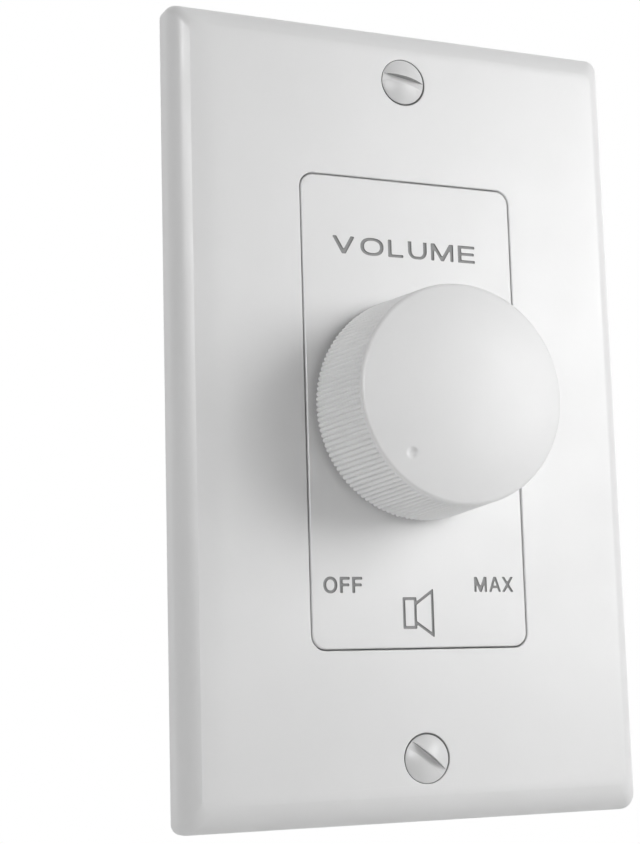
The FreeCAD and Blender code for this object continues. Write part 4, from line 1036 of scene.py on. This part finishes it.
def laminate(name, light, dark, rough):
    """Pressed paper and resin: fibres run one way over a mottled ground."""
    surface = Surface(name)
    fibre = surface.noise(0.3, 4.0, 0.65, surface.stretch(1.0, 1.0, 0.12))
    ground = surface.mottle(light, dark, 3.5, 4.0)
    bright = [shade * 1.6 for shade in light]
    surface.colour(surface.blend(surface.span(fibre, 0.0, 0.5), ground, bright))
    surface.gloss(fibre, rough, 0.85, 1.15)
    surface.bump(fibre, 0.006)
    return surface.material


def solder_mask(name):
    """Green mask: darker over bare laminate, lighter where copper lies under it."""
    surface = Surface(name)
    weave = surface.noise(0.5, 3.0, 0.6, surface.stretch(1.0, 1.0, 0.25))
    ground = surface.mottle((0.016, 0.17, 0.06), (0.022, 0.215, 0.075), 9.0)
    surface.colour(surface.blend(surface.span(weave, 0.0, 0.35), ground, (0.03, 0.25, 0.09)))
    surface.gloss(surface.noise(2.5, 4.0), 0.3, 0.8, 1.2)
    surface.bump(weave, 0.006)
    return surface.material


FINISHES = {
    "zinc_steel": rolled("zinc_steel", (0.60, 0.62, 0.65), (0.50, 0.51, 0.52), 0.34),
    "nickel": rolled(
        "nickel", (0.70, 0.68, 0.64), (0.62, 0.60, 0.56), 0.24, (1.0, 0.06, 1.0), 0.002
    ),
    "spring_steel": rolled(
        "spring_steel", (0.50, 0.50, 0.52), (0.40, 0.40, 0.43), 0.3, (0.06, 1.0, 1.0), 0.002
    ),
    "die_cast": cast("die_cast", (0.60, 0.61, 0.63), (0.50, 0.51, 0.53), 0.42),
    "phenolic": laminate("phenolic", (0.23, 0.115, 0.055), (0.17, 0.08, 0.04), 0.5),
    "contact_silver": rolled(
        "contact_silver", (0.80, 0.79, 0.75), (0.68, 0.66, 0.60), 0.22, (1.0, 1.0, 0.2), 0.001
    ),
    "nylon_black": moulded(
        "nylon_black", grey(0.036), grey(0.028), 0.45, grain=0.3, relief=0.008
    ),
    "ball_steel": cast("ball_steel", (0.68, 0.69, 0.70), (0.63, 0.64, 0.66), 0.12),
    "terminal_green": moulded(
        "terminal_green", (0.035, 0.30, 0.11), (0.028, 0.25, 0.09), 0.36, grain=0.4, relief=0.006
    ),
    "tin": cast("tin", (0.74, 0.74, 0.73), (0.62, 0.62, 0.62), 0.28),
    "slider_white": moulded(
        "slider_white", grey(0.78), grey(0.74), 0.4, grain=0.3, relief=0.006
    ),
    "core_steel": striped("core_steel", grey(0.26), grey(0.19), 0.42, "X", 0.5, 0.05),
    "bobbin_nylon": moulded(
        "bobbin_nylon", (0.58, 0.55, 0.47), (0.53, 0.50, 0.42), 0.42, relief=0.007
    ),
    "copper": striped("copper", (0.62, 0.24, 0.10), (0.50, 0.17, 0.07), 0.26, "Z", 0.42, 0.10),
    "tape_yellow": laminate("tape_yellow", (0.72, 0.50, 0.08), (0.64, 0.43, 0.06), 0.3),
    "board_green": solder_mask("board_green"),
}
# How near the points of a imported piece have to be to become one, in millimetres
PACKED_MERGE = 2e-3
FLAT_ANGLE = 0.5
DRESSED_ANGLE = 30.0


def dress(node, slot, bevel):
    """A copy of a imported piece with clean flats, rounded edges and its own finish."""
    source = frame["nodes"][node]
    data = source.data.copy()
    data.name = node + "_dressed"
    data.materials.clear()
    mesh = bmesh.new()
    mesh.from_mesh(data)
    bmesh.ops.remove_doubles(mesh, verts=mesh.verts[:], dist=PACKED_MERGE * MM)
    bmesh.ops.dissolve_degenerate(mesh, edges=mesh.edges[:], dist=PACKED_MERGE * MM)
    bmesh.ops.dissolve_limit(
        mesh,
        angle_limit=math.radians(FLAT_ANGLE),
        verts=mesh.verts[:],
        edges=mesh.edges[:],
        delimit={"NORMAL"},
    )
    bmesh.ops.recalc_face_normals(mesh, faces=mesh.faces[:])
    for face in mesh.faces:
        face.material_index = 0
    mesh.to_mesh(data)
    mesh.free()
    obj = place(data, node + "_dressed", source["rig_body"], slot, [FINISHES[slot]], [node])
    soften(obj, DRESSED_ANGLE, bevel)


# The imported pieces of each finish, with the width of their rounded edges
DRESSED = {
    "zinc_steel": [
        ("mounting_strap", 0.15), ("strap_screws", 0.1), ("board_screws", 0.1),
        ("input_plug_screws", 0.06), ("output_plug_screws", 0.06), ("left_clamp", 0.1),
        ("right_clamp", 0.1),
    ],
    "nickel": [
        ("bushing_nut", 0.2), ("switch_rivets", 0.08), ("standoffs", 0.15),
        ("input_plug_cages", 0.06), ("output_plug_cages", 0.06),
    ],
    "spring_steel": [
        ("lock_washer", 0.05), ("knob_clip", 0.04), ("shaft_ring", 0.05), ("detent_springs", 0.0),
    ],
    "die_cast": [("switch_shaft", 0.12), ("switch_housing", 0.15)],
    "phenolic": [("switch_base", 0.1)],
    "contact_silver": [("switch_contacts", 0.04), ("rotor_wipers", 0.04)],
    "nylon_black": [("switch_rotor", 0.12), ("selector_body", 0.1)],
    "ball_steel": [("detent_balls", 0.0)],
    "board_green": [("circuit_board", 0.08)],
    "terminal_green": [
        ("input_header", 0.12), ("output_header", 0.12), ("input_plug", 0.15),
        ("output_plug", 0.15),
    ],
    "tin": [
        ("input_header_pins", 0.08), ("output_header_pins", 0.08), ("selector_pins", 0.05),
        ("left_bobbin_pins", 0.06), ("right_bobbin_pins", 0.06),
    ],
    "slider_white": [("selector_slider", 0.12)],
    "core_steel": [("left_core", 0.08), ("right_core", 0.08)],
    "bobbin_nylon": [("left_bobbin", 0.1), ("right_bobbin", 0.1)],
    "copper": [("left_winding", 0.0), ("right_winding", 0.0)],
    "tape_yellow": [("left_tape", 0.06), ("right_tape", 0.06)],
}
for slot, pieces in DRESSED.items():
    for node, bevel in pieces:
        dress(node, slot, bevel)

# Tracks on the board's rear face, raised under the green mask, with bare pads at their ends

BOARD_BACK = 16.8
TRACK_RISE = 0.06
TRACK_WIDTH = 0.9
TRACK_TOP = 0.94
SUNK = 0.03
# Each path runs up the right half of the board, as (x, z)
PATHS = [
    [(18.92, -24.0), (18.92, -12.0), (16.4, -9.48), (16.4, -6.5)],
    [(13.84, -24.0), (13.84, -22.9), (16.0, -20.74), (16.0, -14.2), (14.3, -12.5), (14.3, -9.0)],
    [(8.76, -24.0), (8.76, -22.6), (7.3, -21.14), (7.3, -11.9), (4.0, -8.6), (4.0, -6.5)],
    [(3.68, -24.0), (3.68, -18.2), (1.7, -16.22), (1.7, 23.8), (4.0, 26.1), (4.0, 28.9)],
    [(16.4, 13.5), (16.4, 19.0), (18.3, 20.9), (18.3, 29.2), (16.9, 30.6), (9.4, 30.6)],
    [(21.5, -22.0), (21.5, 33.4), (20.6, 34.3), (9.4, 34.3)],
]
MIDDLE_PATH = [(0.0, -20.5), (0.0, 30.5)]
MIDDLE_PADS = (-20.5, 24.0)
PAD_STEPS = 24
# A pad's section, as pairs of radius and rise over the board
PAD = ((0.95, -SUNK), (0.92, TRACK_RISE), (0.75, 0.16), (0.5, 0.2), (0.36, 0.12), (0.32, -SUNK))


def track(shape, path):
    """A flat strip along a path, mitred where it turns."""
    spots = [Vector(spot) for spot in path]
    runs = [(after - before).normalized() for before, after in zip(spots, spots[1:])]
    sections = []
    for here, arrive, leave in zip(spots, runs[:1] + runs, runs + runs[-1:]):
        along = (arrive + leave).normalized()
        across = Vector((-along.y, along.x)) * TRACK_WIDTH / 2 / along.dot(arrive)
        corners = [(here - across, -SUNK), (here + across, -SUNK)]
        corners += [(here + across * side * TRACK_TOP, TRACK_RISE) for side in (1, -1)]
        sections.append([(spot.x, BOARD_BACK + rise, spot.y) for spot, rise in corners])
    start = shape.loop(sections[0])
    shape.face(*start)
    shape.face(*shape.skin(sections[1:], start)[-1])


def pad(shape, x, z):
    """A ring of solder round a plated hole."""
    rings = [circle(radius, BOARD_BACK + rise, PAD_STEPS, x, z) for radius, rise in PAD]
    loops = shape.skin(rings)
    shape.bridge(loops[-1], loops[0])


def board_tracks():
    tracks, pads = Shape(), Shape()
    for side in (-1, 1):
        for path in PATHS:
            mirrored = [(side * x, z) for x, z in path]
            track(tracks, mirrored)
            pad(pads, *mirrored[-1])
    track(tracks, MIDDLE_PATH)
    for z in MIDDLE_PADS:
        pad(pads, 0.0, z)
    green = moulded("track_green", (0.034, 0.30, 0.11), (0.028, 0.26, 0.095), 0.28, grain=0.8)
    for shape, name, slot, look in (
        (tracks, "board_tracks", "board_green", green),
        (pads, "board_pads", "tin", FINISHES["tin"]),
    ):
        soften(place(shape.mesh(name), name, "base", slot, [look], []), 40.0)


board_tracks()

# Light and floor


def area_light(name, location, size, power, rays):
    """A square lamp turned to the origin, for diffuse rays or for glossy ones only."""
    light = bpy.data.lights.new(name, "AREA")
    light.size = size
    light.energy = power
    obj = new_object(name, light)
    obj.location = location
    obj.rotation_euler = (-Vector(location)).to_track_quat("-Z", "Y").to_euler()
    obj.visible_diffuse = rays == "diffuse"
    obj.visible_glossy = rays == "glossy"


# The first six light the object, the next four only show in its gloss, the last one lights its rear
area_light("key", (0.31, -0.27, 0.10), 0.22, 0.72, "diffuse")
area_light("key_front", (0.20, -0.36, 0.12), 0.2, 0.34, "diffuse")
area_light("key_low", (0.30, -0.28, 0.0), 0.18, 0.12, "diffuse")
area_light("left_high", (-0.55, -0.28, 0.2), 0.3, 0.62, "diffuse")
area_light("left_side", (-0.55, -0.02, 0.1), 0.3, 0.52, "diffuse")
area_light("top", (0.05, -0.10, 0.55), 0.3, 0.42, "diffuse")
area_light("streak_high", (-0.565, -0.28, 0.275), 0.14, 0.96, "glossy")
area_light("streak_middle", (-0.37, -0.37, 0.18), 0.12, 0.6, "glossy")
area_light("streak_front", (-0.20, -0.42, 0.07), 0.10, 1.0, "glossy")
area_light("glow", (0.30, -0.36, 0.08), 0.25, 0.78, "glossy")
area_light("back", (0.10, 0.60, 0.30), 0.5, 2.5, "diffuse")

WORLD_LEVEL = 0.02
FLOOR_HEIGHT = -0.15
FLOOR_HALF = 8.0
# From this distance to that, in metres, the floor fades into the backdrop
FADE_START = 0.25
FADE_END = 1.0


def seen(tree):
    """1 for rays of the camera, of reflections and through glass."""
    path = add_node(tree, "ShaderNodeLightPath", {})
    rays = path.outputs["Is Camera Ray"]
    for kind in ("Is Glossy Ray", "Is Transmission Ray"):
        inputs = {0: rays, 1: path.outputs[kind]}
        rays = add_node(tree, "ShaderNodeMath", inputs, operation="MAXIMUM").outputs[0]
    return rays


def backdrop():
    """White to what sees it, with only a little light from it."""
    world = bpy.data.worlds.new("studio")
    bpy.context.scene.world = world
    world.use_nodes = True
    tree = world.node_tree
    background = tree.nodes["Background"]
    background.inputs["Color"].default_value = (1.0, 1.0, 1.0, 1.0)
    inputs = {"Value": seen(tree), "To Min": WORLD_LEVEL, "To Max": 1.0}
    level = add_node(tree, "ShaderNodeMapRange", inputs)
    tree.links.new(level.outputs["Result"], background.inputs["Strength"])


def floor_look():
    """Matt and pale: it keeps the object's shadow, and turns into the backdrop further off."""
    material = bpy.data.materials.new("floor")
    material.use_nodes = True
    tree = material.node_tree
    shader = tree.nodes["Principled BSDF"]
    shader.inputs["Base Color"].default_value = (0.86, 0.86, 0.86, 1.0)
    shader.inputs["Roughness"].default_value = 0.9
    spot = add_node(tree, "ShaderNodeTexCoord", {}).outputs["Object"]
    away = add_node(tree, "ShaderNodeVectorMath", {0: spot}, operation="LENGTH").outputs["Value"]
    inputs = {"Value": away, "From Min": FADE_START, "From Max": FADE_END}
    fade = add_node(tree, "ShaderNodeMapRange", inputs).outputs["Result"]
    share = add_node(tree, "ShaderNodeMath", {0: fade, 1: seen(tree)}, operation="MULTIPLY")
    glow = add_node(tree, "ShaderNodeEmission", {})
    inputs = {"Fac": share.outputs[0], 1: shader.outputs[0], 2: glow.outputs[0]}
    mix = add_node(tree, "ShaderNodeMixShader", inputs)
    tree.links.new(mix.outputs[0], tree.nodes["Material Output"].inputs["Surface"])
    return material


backdrop()
floor_mesh = bpy.data.meshes.new("floor")
ground = bmesh.new()
bmesh.ops.create_grid(ground, x_segments=8, y_segments=8, size=FLOOR_HALF)
ground.to_mesh(floor_mesh)
ground.free()
floor_mesh.materials.append(floor_look())
floor = new_object("floor", floor_mesh)
floor.location = (0.0, 0.0, FLOOR_HEIGHT)

bpy.context.scene.view_settings.view_transform = "Standard"
